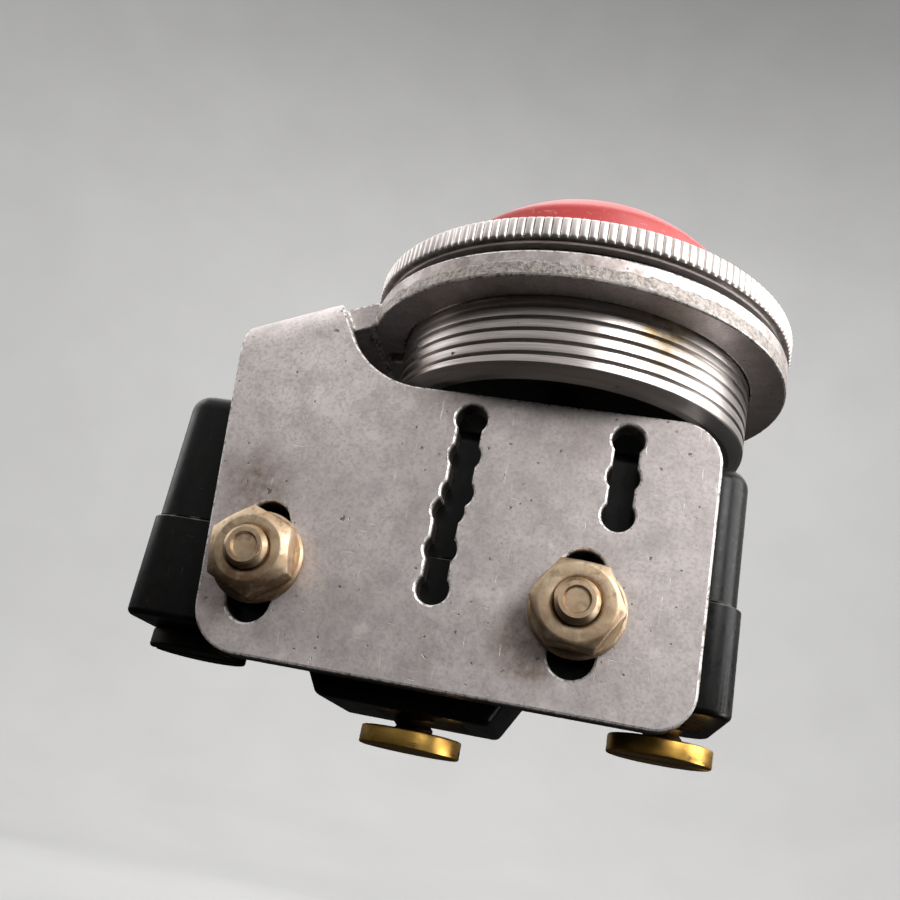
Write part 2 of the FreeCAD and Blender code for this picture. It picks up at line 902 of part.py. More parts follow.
def make_parts():
    common = make_common_terminal()
    normally_open = make_normally_open_terminal()
    normally_closed = make_normally_closed_terminal()
    return {
        "bracket": make_bracket(),
        "barrel": make_barrel(),
        "guide_plate": make_guide_plate(),
        "retaining_ring": make_retaining_ring(),
        "panel_gasket": make_panel_gasket(),
        "bezel_ring": make_bezel_ring(),
        "button_cap": make_button_cap(),
        "actuator_stem": make_actuator_stem(),
        "return_spring": make_return_spring(),
        "overtravel_spring": make_overtravel_spring(),
        "switch_base": make_switch_base([common, normally_open, normally_closed]),
        "switch_cover": make_switch_cover(),
        "switch_plunger": make_switch_plunger(),
        "contact_blade": make_contact_blade(),
        "moving_contact": make_moving_contact(),
        "blade_rivet": make_blade_rivet(),
        "upper_contact": make_upper_contact(),
        "lower_contact": make_lower_contact(),
        "common_terminal": common,
        "normally_open_terminal": normally_open,
        "normally_closed_terminal": normally_closed,
        "terminal_screws": make_terminal_screws(),
        "mounting_screws": make_mounting_screws(),
        "mounting_washers": make_mounting_washers(),
        "mounting_nuts": make_mounting_nuts(),
    }


os.makedirs("parts", exist_ok=True)
for node, shape in make_parts().items():
    shape.exportStep(f"parts/{node}.step")
    print(f"{node}: {len(shape.Solids)} solid, {shape.Volume:.1f} mm3, valid {shape.isValid()}")
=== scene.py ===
import math

import bmesh
import bpy
from mathutils import Matrix, Vector


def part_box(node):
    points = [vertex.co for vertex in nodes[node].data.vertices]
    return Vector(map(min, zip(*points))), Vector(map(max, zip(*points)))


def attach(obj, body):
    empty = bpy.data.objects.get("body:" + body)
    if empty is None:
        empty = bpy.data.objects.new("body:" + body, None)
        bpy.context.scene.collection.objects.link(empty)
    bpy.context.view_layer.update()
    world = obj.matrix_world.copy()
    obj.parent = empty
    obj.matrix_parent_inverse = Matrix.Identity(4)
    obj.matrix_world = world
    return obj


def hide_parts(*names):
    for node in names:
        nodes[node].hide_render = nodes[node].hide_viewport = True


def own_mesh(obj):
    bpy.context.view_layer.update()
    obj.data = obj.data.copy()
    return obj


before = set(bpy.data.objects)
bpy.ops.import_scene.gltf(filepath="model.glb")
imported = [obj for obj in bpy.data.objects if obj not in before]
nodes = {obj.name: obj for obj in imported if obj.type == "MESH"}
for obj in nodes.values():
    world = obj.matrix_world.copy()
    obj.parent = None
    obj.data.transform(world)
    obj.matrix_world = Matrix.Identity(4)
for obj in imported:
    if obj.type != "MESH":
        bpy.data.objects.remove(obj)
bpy.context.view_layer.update()        # the CAD bodies and nodes, in metres
mm = 0.001
fullTurn = 2 * math.pi
mergeGap = 0.001 * mm        # closer points become one
cutSlack = 1e-4 * mm        # a point this near a cut lies on it
spare = 1.0        # how far a cutter passes the metal, in millimetres
print("frame loaded:", len(nodes), "nodes")


# Working in object and edit mode

def clearSelection():
    if bpy.context.mode != "OBJECT":
        bpy.ops.object.mode_set(mode="OBJECT")
    bpy.ops.object.select_all(action="DESELECT")


def pick(*pieces):
    clearSelection()
    for piece in pieces:
        piece.select_set(True)
    bpy.context.view_layer.objects.active = pieces[0]


def openEdit(piece):
    pick(piece)
    bpy.ops.object.mode_set(mode="EDIT")
    bpy.ops.mesh.select_mode(type="VERT")
    bpy.ops.mesh.select_all(action="SELECT")


def closeEdit():
    bpy.ops.object.mode_set(mode="OBJECT")


def bakePlace():
    bpy.ops.object.transform_apply(location=True, rotation=True, scale=True)


def selectVerts(piece, test):
    bpy.ops.mesh.select_all(action="DESELECT")
    mesh = bmesh.from_edit_mesh(piece.data)
    for vert in mesh.verts:
        vert.select_set(test(vert.co / mm))
    mesh.select_flush(True)
    bmesh.update_edit_mesh(piece.data)


def moveVerts(piece, shift):
    mesh = bmesh.new()
    mesh.from_mesh(piece.data)
    for vert in mesh.verts:
        vert.co = Vector(shift(vert.co / mm)) * mm
    mesh.to_mesh(piece.data)
    mesh.free()


def useModifier(piece, kind, **settings):
    pick(piece)
    bpy.ops.object.modifier_add(type=kind)
    modifier = piece.modifiers[-1]
    for name, value in settings.items():
        setattr(modifier, name, value)
    bpy.ops.object.modifier_apply(modifier=modifier.name)


def joinPieces(name, pieces):
    pick(*pieces)
    bpy.ops.object.join()
    joined = bpy.context.object
    joined.name = name
    joined.data.name = name
    return joined


def settle(piece, smoothAngle=30):
    pick(piece)
    bakePlace()
    openEdit(piece)
    bpy.ops.mesh.remove_doubles(threshold=mergeGap)
    bpy.ops.mesh.normals_make_consistent(inside=False)
    closeEdit()
    bpy.ops.object.shade_smooth_by_angle(angle=math.radians(smoothAngle))


def copyPiece(piece, name):
    pick(piece)
    bpy.ops.object.duplicate(linked=False)
    made = bpy.context.object
    made.name = name
    return made


# Profiles, turned pieces and threads, drawn as (radius, height) in millimetres

def drawChain(name, points):
    clearSelection()
    bpy.ops.mesh.primitive_plane_add(size=mm)
    piece = bpy.context.object
    piece.name = name
    openEdit(piece)
    bpy.ops.mesh.merge(type="CENTER")
    steps = [Vector((radius, 0, height)) * mm for radius, height in points]
    bpy.ops.transform.translate(value=steps[0])
    for before, after in zip(steps, steps[1:]):
        bpy.ops.mesh.extrude_region_move(TRANSFORM_OT_translate={"value": after - before})
    closeEdit()
    return piece


def turnPiece(name, points, steps, closed=True):
    outline = points + [points[0]] if closed else points
    piece = drawChain(name, outline)
    openEdit(piece)
    bpy.ops.mesh.remove_doubles(threshold=mergeGap)
    bpy.ops.mesh.select_all(action="SELECT")
    bpy.ops.mesh.spin(steps=steps, angle=fullTurn, center=(0, 0, 0), axis=(0, 0, 1))
    closeEdit()
    settle(piece)
    return piece


def arcPoints(centre, radius, start, end, count):
    made = []
    for step in range(count + 1):
        angle = math.radians(start + (end - start) * step / count)
        made.append((centre[0] + radius * math.cos(angle), centre[1] + radius * math.sin(angle)))
    return made


def threadTube(name, radius, look, low, high, fill):
    pitch = look["pitch"]
    points = [
        (radius - look["depth"] * cut, low - pitch * (1 - share)) for share, cut in look["profile"]
    ]
    piece = drawChain(name, points)
    turns = math.ceil((high - low) / pitch) + 2        # one spare turn to cut off at each end
    useModifier(
        piece, "SCREW", angle=fullTurn, screw_offset=pitch * mm, iterations=turns,
        steps=look["steps"], render_steps=look["steps"], use_merge_vertices=False,
    )
    openEdit(piece)
    bpy.ops.mesh.remove_doubles(threshold=mergeGap)
    for level, below in ((low, True), (high, False)):
        bpy.ops.mesh.select_all(action="SELECT")
        bpy.ops.mesh.bisect(
            plane_co=(0, 0, level * mm), plane_no=(0, 0, 1), use_fill=fill,
            clear_inner=below, clear_outer=not below, threshold=cutSlack,
        )
    closeEdit()
    return piece


def selectOpenEdges():
    bpy.ops.mesh.select_mode(type="EDGE")
    bpy.ops.mesh.select_all(action="DESELECT")
    bpy.ops.mesh.select_non_manifold(
        extend=False, use_wire=False, use_boundary=True, use_multi_face=False,
        use_non_contiguous=False, use_verts=False,
    )


# Material helpers: every pattern reads Object coordinates, scaled to millimetres

noiseSpan = (0.3, 0.7)        # most of a noise lies in this span


def newMaterial(name, colour, metallic, roughness):
    material = bpy.data.materials.new(name)
    material.use_nodes = True
    tree = material.node_tree
    shader = tree.nodes["Principled BSDF"]
    shader.inputs["Base Color"].default_value = (*colour, 1)
    shader.inputs["Metallic"].default_value = metallic
    shader.inputs["Roughness"].default_value = roughness
    return material, tree, shader


def addNode(tree, kind, inputs=None, **settings):
    made = tree.nodes.new(kind)
    for name, value in settings.items():
        setattr(made, name, value)
    for name, value in (inputs or {}).items():
        if isinstance(value, bpy.types.NodeSocket):
            tree.links.new(value, made.inputs[name])
        else:
            made.inputs[name].default_value = value
    return made


def joinShader(tree, shader, colour, rough, normal):
    for name, source in (("Base Color", colour), ("Roughness", rough), ("Normal", normal)):
        tree.links.new(source, shader.inputs[name])


def objectPlace(tree, stretch=(1, 1, 1), turn=(0, 0, 0), shift=(0, 0, 0)):
    coordinates = addNode(tree, "ShaderNodeTexCoord").outputs["Object"]
    scale = [share / mm for share in stretch]
    return addNode(tree, "ShaderNodeMapping", {
        "Vector": coordinates, "Scale": scale, "Rotation": turn, "Location": shift,
    }).outputs["Vector"]


def placeValue(tree, axis):
    parts = addNode(tree, "ShaderNodeSeparateXYZ", {"Vector": objectPlace(tree)})
    return parts.outputs[axis]


def noise(tree, size, detail=4.0, rough=0.55, **place):
    return addNode(tree, "ShaderNodeTexNoise", {
        "Vector": objectPlace(tree, **place), "Scale": 1 / size, "Detail": detail,
        "Roughness": rough,
    }).outputs["Fac"]


def remap(tree, source, low, high, first=0.0, last=1.0):
    return addNode(tree, "ShaderNodeMapRange", {
        "Value": source, "From Min": low, "From Max": high, "To Min": first, "To Max": last,
    }, clamp=True).outputs["Result"]


def patches(tree, size, span, out=(0.0, 1.0), **settings):
    return remap(tree, noise(tree, size, **settings), *span, *out)


def combine(tree, operation, first, second):
    return addNode(tree, "ShaderNodeMath", {0: first, 1: second}, operation=operation).outputs[0]


def times(tree, first, second):
    return combine(tree, "MULTIPLY", first, second)


def either(tree, first, second):
    return combine(tree, "MAXIMUM", first, second)


def between(tree, value, rise, fall):
    return times(tree, remap(tree, value, *rise), remap(tree, value, *fall, 1.0, 0.0))


def tint(tree, factor, first, second):
    made = addNode(tree, "ShaderNodeMix", {0: factor}, data_type="RGBA", blend_type="MIX")
    for index, colour in ((6, first), (7, second)):        # the two colour sockets of the node
        if isinstance(colour, bpy.types.NodeSocket):
            tree.links.new(colour, made.inputs[index])
        else:
            made.inputs[index].default_value = (*colour, 1)
    return made.outputs[2]


def nearPoint(tree, centre, inner, outer):
    away = addNode(
        tree, "ShaderNodeVectorMath", {0: objectPlace(tree), 1: centre}, operation="DISTANCE",
    )
    return remap(tree, away.outputs["Value"], inner, outer, 1.0, 0.0)


def axisDistance(tree):
    flat = addNode(tree, "ShaderNodeVectorMath", {
        0: objectPlace(tree), 1: (1, 1, 0),
    }, operation="MULTIPLY").outputs["Vector"]
    return addNode(tree, "ShaderNodeVectorMath", {0: flat}, operation="LENGTH").outputs["Value"]


pitLook = {"detail": 3.0, "waver": 0.6, "soft": 0.3}        # shares of a pit's radius


def pits(tree, spacing, size, share):
    # a ragged spot in a share of the cells, each with its own size
    cells = addNode(
        tree, "ShaderNodeTexVoronoi", {"Vector": objectPlace(tree), "Scale": 1 / spacing},
    )
    pitRadius = size / spacing
    swing = pitLook["waver"] * pitRadius
    waver = patches(tree, size, noiseSpan, (-swing, swing), detail=pitLook["detail"])
    ragged = combine(tree, "ADD", cells.outputs["Distance"], waver)
    parts = addNode(tree, "ShaderNodeSeparateColor", {"Color": cells.outputs["Color"]})
    reach = remap(tree, parts.outputs["Red"], 1 - share, 1.0, 0.0, pitRadius)
    inside = combine(tree, "SUBTRACT", reach, ragged)
    return remap(tree, inside, 0.0, pitLook["soft"] * pitRadius)


def bump(tree, height, distance, strength=1.0, under=None):
    inputs = {"Height": height, "Distance": distance * mm, "Strength": strength}
    if under is not None:
        inputs["Normal"] = under
    return addNode(tree, "ShaderNodeBump", inputs).outputs["Normal"]


def streaks(tree, looks):
    first, second = [patches(tree, detail=2.0, **look) for look in looks]
    return either(tree, first, second)


# Finishes: spans are (from, to) of a noise, or with the values they turn into;
# bumps are (height in millimetres, strength)

def plateFinish():
    look = {
        "light": (0.70, 0.635, 0.62), "dull": (0.60, 0.54, 0.525), "dark": (0.38, 0.34, 0.33),
        "paleAndLit": (0.92, 0.84, 0.82), "pit": (0.15, 0.13, 0.115), "stain": (0.24, 0.165, 0.12),
        "wall": (0.07, 0.06, 0.052), "sheared": (0.50, 0.455, 0.41), "nick": (0.85, 0.83, 0.81),
        "metallic": 0.75, "roughness": 0.5,
        "cloud": {"size": 9.0, "detail": 8.0, "rough": 0.62, "span": (0.36, 0.68)},
        # painted highlight: a lighter patch painted on the plate's upper left
        "paintedLightArea": ((-21.0, -10.0, -9.5), 2.0, 11.0), "paintedLightShare": 0.85,
        "grain": {"size": 0.26}, "grainDark": (0.44, 0.68, 0.0, 0.5),
        "mottle": {"size": 2.6, "detail": 8.0, "rough": 0.66, "shift": (3, 9, 1)},
        "mottleDark": (0.46, 0.68, 0.0, 0.5), "mottleClean": (0.42, 0.30, 0.0, 0.5),
        "smear": {"size": 1.1, "detail": 7.0, "rough": 0.65, "span": (0.40, 0.66),
                  "out": (0.35, 1.0)},
        # brown marks: rust stains, and beside the nuts painted shadow of the nuts as well
        # centre, radius of the full stain, radius where it ends, strength
        "stainsAndShadows": (
            ((-23.5, -11.0, -19.9), 0.5, 4.2, 1.0), ((0.9, -11.0, -29.0), 2.2, 3.5, 0.9),
            ((-24.6, -11.0, -30.0), 0.5, 4.0, 0.5), ((-8.5, -11.0, -9.8), 0.5, 4.0, 0.5),
            ((2.2, -11.0, -12.4), 0.5, 3.0, 0.35),
        ),
        "largePits": {"spacing": 2.2, "size": 0.28, "share": 0.4},
        "smallPits": {"spacing": 0.8, "size": 0.14, "share": 0.45}, "pitShare": 0.8,
        "nicks": (
            {"size": 0.3, "stretch": (1.0, 1.0, 0.12), "turn": (0.0, 0.5, 0.0),
             "span": (0.70, 0.76)},
            {"size": 0.3, "stretch": (0.14, 1.0, 1.0), "turn": (0.0, 0.35, 0.0),
             "span": (0.71, 0.77)},
        ),
        "nickShare": 0.6, "nickPolish": 0.12,
        # where the cut walls are painted dark as shade
        "wallFront": (-10.75, -10.4), "wallBack": (-9.0, -8.85), "wallTop": (-10.6, -9.9),
        "wallShare": 0.9,
        "rimWaver": {"size": 0.8, "span": noiseSpan, "out": (-0.18, 0.18)},
        "rimInner": (18.85, 18.95), "rimOuter": (19.3, 19.4), "rimBottom": (-3.4, -3.2),
        "tornTop": (-1.2, -1.1), "tornBottom": (-2.8, -2.6), "tornShare": 0.75,
        "chips": {"size": 0.34, "detail": 5.0, "rough": 0.65}, "chipSpan": (0.42, 0.64),
        "soil": {"size": 1.5, "detail": 7.0, "rough": 0.65, "span": (0.44, 0.66),
                 "out": (0.0, 0.6)},
        "sheen": {"size": 1.2, "detail": 6.0, "span": noiseSpan, "out": (0.42, 0.56)},
        "grainBump": (0.016, 0.55), "pitBump": (-0.05, 0.6), "nickBump": (-0.015, 0.5),
        "chipBump": (0.16, 0.8),
    }
    material, tree, shader = newMaterial(
        "satinPlate", look["light"], look["metallic"], look["roughness"],
    )
    colour = tint(tree, patches(tree, **look["cloud"]), look["light"], look["dull"])
    # painted highlight: the plate is painted lighter towards its upper left
    paleAndLit = times(tree, nearPoint(tree, *look["paintedLightArea"]), look["paintedLightShare"])
    colour = tint(tree, paleAndLit, colour, look["paleAndLit"])
    grain = noise(tree, **look["grain"])
    colour = tint(tree, remap(tree, grain, *look["grainDark"]), colour, look["dark"])
    mottle = noise(tree, **look["mottle"])
    colour = tint(tree, remap(tree, mottle, *look["mottleDark"]), colour, look["dark"])
    colour = tint(tree, remap(tree, mottle, *look["mottleClean"]), colour, look["paleAndLit"])
    smear = patches(tree, **look["smear"])
    # painted shadow and rust stains, laid on in one
    for centre, inner, outer, share in look["stainsAndShadows"]:
        smudge = times(tree, nearPoint(tree, centre, inner, outer), smear)
        colour = tint(tree, times(tree, smudge, share), colour, look["stain"])
    spots = either(tree, pits(tree, **look["largePits"]), pits(tree, **look["smallPits"]))
    colour = tint(tree, times(tree, spots, look["pitShare"]), colour, look["pit"])
    nicks = streaks(tree, look["nicks"])
    colour = tint(tree, times(tree, nicks, look["nickShare"]), colour, look["nick"])
    # the cut walls of the plate and its slots are painted dark: painted shade, over dark oxide on
    # the cut
    shadedWalls = between(tree, placeValue(tree, "Y"), look["wallFront"], look["wallBack"])
    shadedWalls = times(tree, shadedWalls, remap(tree, placeValue(tree, "Z"), *look["wallTop"], 1.0, 0.0))
    colour = tint(tree, times(tree, shadedWalls, look["wallShare"]), colour, look["wall"])
    # the lower half of the flange's rim is torn by the shear
    height = combine(tree, "ADD", placeValue(tree, "Z"), patches(tree, **look["rimWaver"]))
    onRim = between(tree, axisDistance(tree), look["rimInner"], look["rimOuter"])
    onRim = times(tree, onRim, remap(tree, height, *look["rimBottom"]))
    torn = times(tree, between(tree, height, look["tornBottom"], look["tornTop"]), onRim)
    chips = noise(tree, **look["chips"])
    speckled = tint(tree, remap(tree, chips, *look["chipSpan"]), look["sheared"], look["pit"])
    soiled = times(tree, onRim, patches(tree, **look["soil"]))
    colour = tint(tree, soiled, colour, look["stain"])
    colour = tint(tree, times(tree, torn, look["tornShare"]), colour, speckled)
    polish = times(tree, nicks, look["nickPolish"])
    rough = combine(tree, "SUBTRACT", patches(tree, **look["sheen"]), polish)
    skin = bump(tree, grain, *look["grainBump"])
    sunk = bump(tree, spots, *look["pitBump"], skin)
    scored = bump(tree, nicks, *look["nickBump"], sunk)
    chipped = bump(tree, times(tree, chips, torn), *look["chipBump"], scored)
    joinShader(tree, shader, colour, rough, chipped)
    return material


# bevelled edges painted lighter: where the finish is rubbed through, and painted highlight along
# the edges
edgeWearAndHighlightLooks = {
    # painted highlight: near-white plate edges, partly rubbed-through metal
    "wornEdgeAndHighlight": {
        "base": (0.95, 0.90, 0.87), "first": (0.95, 0.90, 0.87), "second": (0.30, 0.27, 0.24),
        "metallic": 0.6, "roughness": 0.4, "sheen": (0.38, 0.6),
        "wear": {"size": 0.5, "detail": 6.0, "rough": 0.65, "span": (0.46, 0.60)},
        "skinSize": 0.25, "skinBump": (0.03, 0.5),
    },
    # painted highlight: lighter edges on the black case, partly rubbed wear
    "rubbedPhenolicAndHighlight": {
        "base": (0.05, 0.047, 0.044), "first": (0.012, 0.011, 0.010), "second": (0.11, 0.105, 0.10),
        "metallic": 0.0, "roughness": 0.4, "sheen": (0.3, 0.45),
        "wear": {"size": 0.8, "detail": 5.0, "span": (0.45, 0.62)},
        "skinSize": 0.3, "skinBump": (0.02, 0.5),
    },
}


def edgeWearAndHighlightFinish(name):
    look = edgeWearAndHighlightLooks[name]
    material, tree, shader = newMaterial(name, look["base"], look["metallic"], look["roughness"])
    wear = patches(tree, **look["wear"])
    colour = tint(tree, wear, look["first"], look["second"])
    rough = remap(tree, wear, 0.0, 1.0, *look["sheen"])
    normal = bump(tree, noise(tree, look["skinSize"]), *look["skinBump"])
    joinShader(tree, shader, colour, rough, normal)
    return material


def barrelFinish():
    look = {
        "bright": (0.61, 0.56, 0.53), "dull": (0.38, 0.345, 0.325), "stain": (0.34, 0.24, 0.11),
        "soot": (0.05, 0.04, 0.03), "bevel": (0.34, 0.33, 0.325),
        "metallic": 1.0, "roughness": 0.2,
        "lines": {"size": 0.16, "detail": 3.0, "stretch": (0.03, 0.03, 1.0)},
        "lineDull": (0.35, 0.7), "lineSheen": (0.3, 0.75, 0.26, 0.40),
        "stainArea": ((7.5, -14.0, -2.9), 0.8, 4.6),
        "stainPatch": {"size": 1.6, "detail": 6.0, "span": (0.38, 0.60)},
        "sootPits": {"spacing": 1.5, "size": 0.22, "share": 0.4},
        "bevelTop": (-8.1, -8.05), "bevelShadeShare": 0.8, "bevelRough": 0.22,
        "lineBump": (0.012, 0.5), "sootBump": (-0.04, 0.5),
    }
    material, tree, shader = newMaterial(
        "turnedBarrel", look["bright"], look["metallic"], look["roughness"],
    )
    lines = noise(tree, **look["lines"])
    colour = tint(tree, remap(tree, lines, *look["lineDull"]), look["bright"], look["dull"])
    stain = times(
        tree, nearPoint(tree, *look["stainArea"]), patches(tree, **look["stainPatch"]),
    )
    colour = tint(tree, stain, colour, look["stain"])
    soot = pits(tree, **look["sootPits"])
    colour = tint(tree, soot, colour, look["soot"])
    # the bottom chamfer is painted darker and rougher: a matte finish, with painted shade on the
    # downward face
    bevel = remap(tree, placeValue(tree, "Z"), *look["bevelTop"], 1.0, 0.0)
    colour = tint(tree, times(tree, bevel, look["bevelShadeShare"]), colour, look["bevel"])
    rough = remap(tree, lines, *look["lineSheen"])
    rough = combine(tree, "ADD", rough, times(tree, bevel, look["bevelRough"]))
    turned = bump(tree, lines, *look["lineBump"])
    joinShader(tree, shader, colour, rough, bump(tree, soot, *look["sootBump"], turned))
    return material


def bezelFinish():
    look = {
        "bright": (0.84, 0.785, 0.755), "dull": (0.66, 0.61, 0.585), "grime": (0.34, 0.30, 0.27),
        "metallic": 1.0, "roughness": 0.3,
        # the knurled band, inwards from the ring's edge and down from its top
        "depth": 0.26, "bandInner": (0.62, 0.56), "bandTop": (0.6, 0.7),
        "grimePatch": {"size": 1.4, "detail": 5.0, "span": (0.3, 0.55), "out": (0.5, 1.0)},
        "cloud": {"size": 2.2, "detail": 7.0, "rough": 0.6, "span": (0.40, 0.66)},
        "sheen": {"size": 0.5, "detail": 5.0, "span": noiseSpan, "out": (0.36, 0.52)},
        "skinSize": 0.3, "skinBump": (0.02, 0.5),
    }
    material, tree, shader = newMaterial(
        "platedBezel", look["bright"], look["metallic"], look["roughness"],
    )
    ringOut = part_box("bezel_ring")[1].x / mm
    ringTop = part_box("bezel_ring")[1].z / mm
    reach = axisDistance(tree)
    valley = remap(tree, reach, ringOut - look["depth"], ringOut - look["depth"] / 2, 1.0, 0.0)
    outside = remap(tree, reach, *[ringOut - inwards for inwards in look["bandInner"]])
    under = remap(tree, placeValue(tree, "Z"), *[ringTop - drop for drop in look["bandTop"]])
    valley = times(tree, valley, times(tree, outside, under))
    grime = times(tree, valley, patches(tree, **look["grimePatch"]))
    colour = tint(tree, patches(tree, **look["cloud"]), look["bright"], look["dull"])
    colour = tint(tree, grime, colour, look["grime"])
    normal = bump(tree, noise(tree, look["skinSize"]), *look["skinBump"])
    joinShader(tree, shader, colour, patches(tree, **look["sheen"]), normal)
    return material


def redFinish():
    look = {
        "base": (0.66, 0.06, 0.06), "light": (0.66, 0.062, 0.058), "deep": (0.56, 0.046, 0.044),
        "rubbed": (0.85, 0.42, 0.39), "metallic": 0.0, "roughness": 0.3,
        "gloss": {"IOR": 1.5, "Coat Weight": 0.3, "Coat Roughness": 0.5},
        "cloud": {"size": 5.0, "detail": 5.0, "span": (0.35, 0.65)}, "sheen": (0.38, 0.48),
        "rubs": (
            {"size": 0.45, "stretch": (0.06, 1.0, 1.0), "turn": (0.0, 0.0, 0.6),
             "span": (0.62, 0.80)},
            {"size": 0.4, "stretch": (1.0, 0.05, 1.0), "turn": (0.0, 0.0, 0.25),
             "span": (0.64, 0.80)},
        ),
        "rubShare": 0.55, "rubRough": 0.25, "rubBump": (-0.008, 0.4),
    }
    material, tree, shader = newMaterial(
        "redMoulding", look["base"], look["metallic"], look["roughness"],
    )
    for name, value in look["gloss"].items():
        shader.inputs[name].default_value = value
    cloud = patches(tree, **look["cloud"])
    colour = tint(tree, cloud, look["light"], look["deep"])
    rub = streaks(tree, look["rubs"])
    colour = tint(tree, times(tree, rub, look["rubShare"]), colour, look["rubbed"])
    rough = remap(tree, cloud, 0, 1, *look["sheen"])
    rough = combine(tree, "ADD", rough, times(tree, rub, look["rubRough"]))
    joinShader(tree, shader, colour, rough, bump(tree, rub, *look["rubBump"]))
    return material


def blackFinish():
    look = {
        "base": (0.007, 0.0065, 0.006), "deep": (0.004, 0.0037, 0.0034),
        "light": (0.008, 0.007, 0.0064), "rubbed": (0.07, 0.066, 0.062), "dust": (0.08, 0.07, 0.06),
        "chalk": (0.14, 0.115, 0.10), "metallic": 0.0, "roughness": 0.28, "specular": 0.22,
        "mottle": {"size": 1.1, "detail": 6.0, "span": (0.35, 0.68)},
        "rubs": (
            {"size": 0.35, "stretch": (1.0, 1.0, 0.10), "turn": (0.0, 0.25, 0.0),
             "span": (0.70, 0.77)},
            {"size": 0.3, "stretch": (0.12, 1.0, 1.0), "turn": (0.3, 0.2, 0.0),
             "span": (0.71, 0.78)},
        ),
        "rubShare": 0.4, "rubRough": 0.2, "rubBump": (-0.012, 0.5),
        "dustSpots": {"spacing": 0.9, "size": 0.13, "share": 0.4}, "dustShare": 0.4,
        "rightSide": (14.5, 15.6),
        "wear": {"size": 3.0, "span": (0.44, 0.62)},
        "chalkPatch": {"size": 0.3, "detail": 5.0, "rough": 0.7, "span": (0.54, 0.70),
                       "out": (0.0, 0.7)},
        "sheen": {"size": 0.8, "detail": 6.0, "span": noiseSpan, "out": (0.24, 0.38)},
        "skin": {"size": 0.35, "detail": 5.0}, "skinBump": (0.012, 0.35),
    }
    material, tree, shader = newMaterial(
        "blackPhenolic", look["base"], look["metallic"], look["roughness"],
    )
    shader.inputs["Specular IOR Level"].default_value = look["specular"]
    colour = tint(tree, patches(tree, **look["mottle"]), look["deep"], look["light"])
    rub = streaks(tree, look["rubs"])
    colour = tint(tree, times(tree, rub, look["rubShare"]), colour, look["rubbed"])
    dust = pits(tree, **look["dustSpots"])
    colour = tint(tree, times(tree, dust, look["dustShare"]), colour, look["dust"])
    rightSide = remap(tree, placeValue(tree, "X"), *look["rightSide"])
    chalk = times(tree, patches(tree, **look["wear"]), patches(tree, **look["chalkPatch"]))
    colour = tint(tree, times(tree, rightSide, chalk), colour, look["chalk"])
    dulled = times(tree, rub, look["rubRough"])
    rough = combine(tree, "ADD", patches(tree, **look["sheen"]), dulled)
    skin = bump(tree, noise(tree, **look["skin"]), *look["skinBump"])
    joinShader(tree, shader, colour, rough, bump(tree, rub, *look["rubBump"], skin))
    return material


def zincFinish():
    look = {
        "khaki": (0.52, 0.37, 0.235), "pale": (0.68, 0.54, 0.38), "brown": (0.16, 0.095, 0.055),
        "metallic": 1.0, "roughness": 0.42,
        "cloud": {"size": 1.3, "detail": 6.0, "span": (0.36, 0.64)},
        "blotch": {"size": 0.9, "detail": 6.0, "rough": 0.62, "shift": (7, 3, 5)},
        # the lower faces are painted brown, the left nut's most of all: rust, and painted shade on
        # the faces turned from the light
        "soilTop": (-25.8, -28.2), "soilAlong": (-14.0, -12.0, 1.0, 0.55),
        "soilSpan": (0.24, 0.5), "spotSpan": (0.54, 0.72, 0.0, 0.8),
        "soilAndShadeShare": 0.9, "soilRough": 0.15,
        "sheen": {"size": 0.5, "detail": 6.0, "span": noiseSpan, "out": (0.40, 0.58)},
        "skin": {"size": 0.28, "detail": 5.0}, "skinBump": (0.02, 0.45),
    }
    material, tree, shader = newMaterial(
        "yellowZinc", look["khaki"], look["metallic"], look["roughness"],
    )
    colour = tint(tree, patches(tree, **look["cloud"]), look["khaki"], look["pale"])
    blotch = noise(tree, **look["blotch"])
    low = remap(tree, placeValue(tree, "Z"), *look["soilTop"])
    leftNutMore = remap(tree, placeValue(tree, "X"), *look["soilAlong"])
    soil = times(tree, times(tree, low, leftNutMore), remap(tree, blotch, *look["soilSpan"]))
    soil = either(tree, soil, remap(tree, blotch, *look["spotSpan"]))
    colour = tint(tree, times(tree, soil, look["soilAndShadeShare"]), colour, look["brown"])
    dulled = times(tree, soil, look["soilRough"])
    rough = combine(tree, "ADD", patches(tree, **look["sheen"]), dulled)
    normal = bump(tree, noise(tree, **look["skin"]), *look["skinBump"])
    joinShader(tree, shader, colour, rough, normal)
    return material


def brassFinish():
    look = {
        "bright": (0.84, 0.52, 0.13), "deep": (0.60, 0.33, 0.07), "black": (0.03, 0.024, 0.018),
        "metallic": 1.0, "roughness": 0.22,
        "cloud": {"size": 1.6, "detail": 5.0, "span": (0.36, 0.66)},
        "tarnishAlong": (-19.0, -17.0, 1.0, 0.0), "tarnishRough": 0.25,        # the left screw
        "spots": {"size": 0.8, "detail": 5.0, "span": (0.64, 0.76), "out": (0.0, 0.6)},
        "sheen": {"size": 0.4, "detail": 5.0, "stretch": (0.2, 0.2, 1.0), "span": noiseSpan,
                  "out": (0.24, 0.42)},
        "skinSize": 0.3, "skinBump": (0.006, 0.3),
    }
    material, tree, shader = newMaterial(
        "screwBrass", look["bright"], look["metallic"], look["roughness"],
    )
    colour = tint(tree, patches(tree, **look["cloud"]), look["bright"], look["deep"])
    tarnish = remap(tree, placeValue(tree, "X"), *look["tarnishAlong"])
    dark = either(tree, tarnish, patches(tree, **look["spots"]))
    colour = tint(tree, dark, colour, look["black"])
    dulled = times(tree, tarnish, look["tarnishRough"])
    rough = combine(tree, "ADD", patches(tree, **look["sheen"]), dulled)
    normal = bump(tree, noise(tree, look["skinSize"]), *look["skinBump"])
    joinShader(tree, shader, colour, rough, normal)
    return material


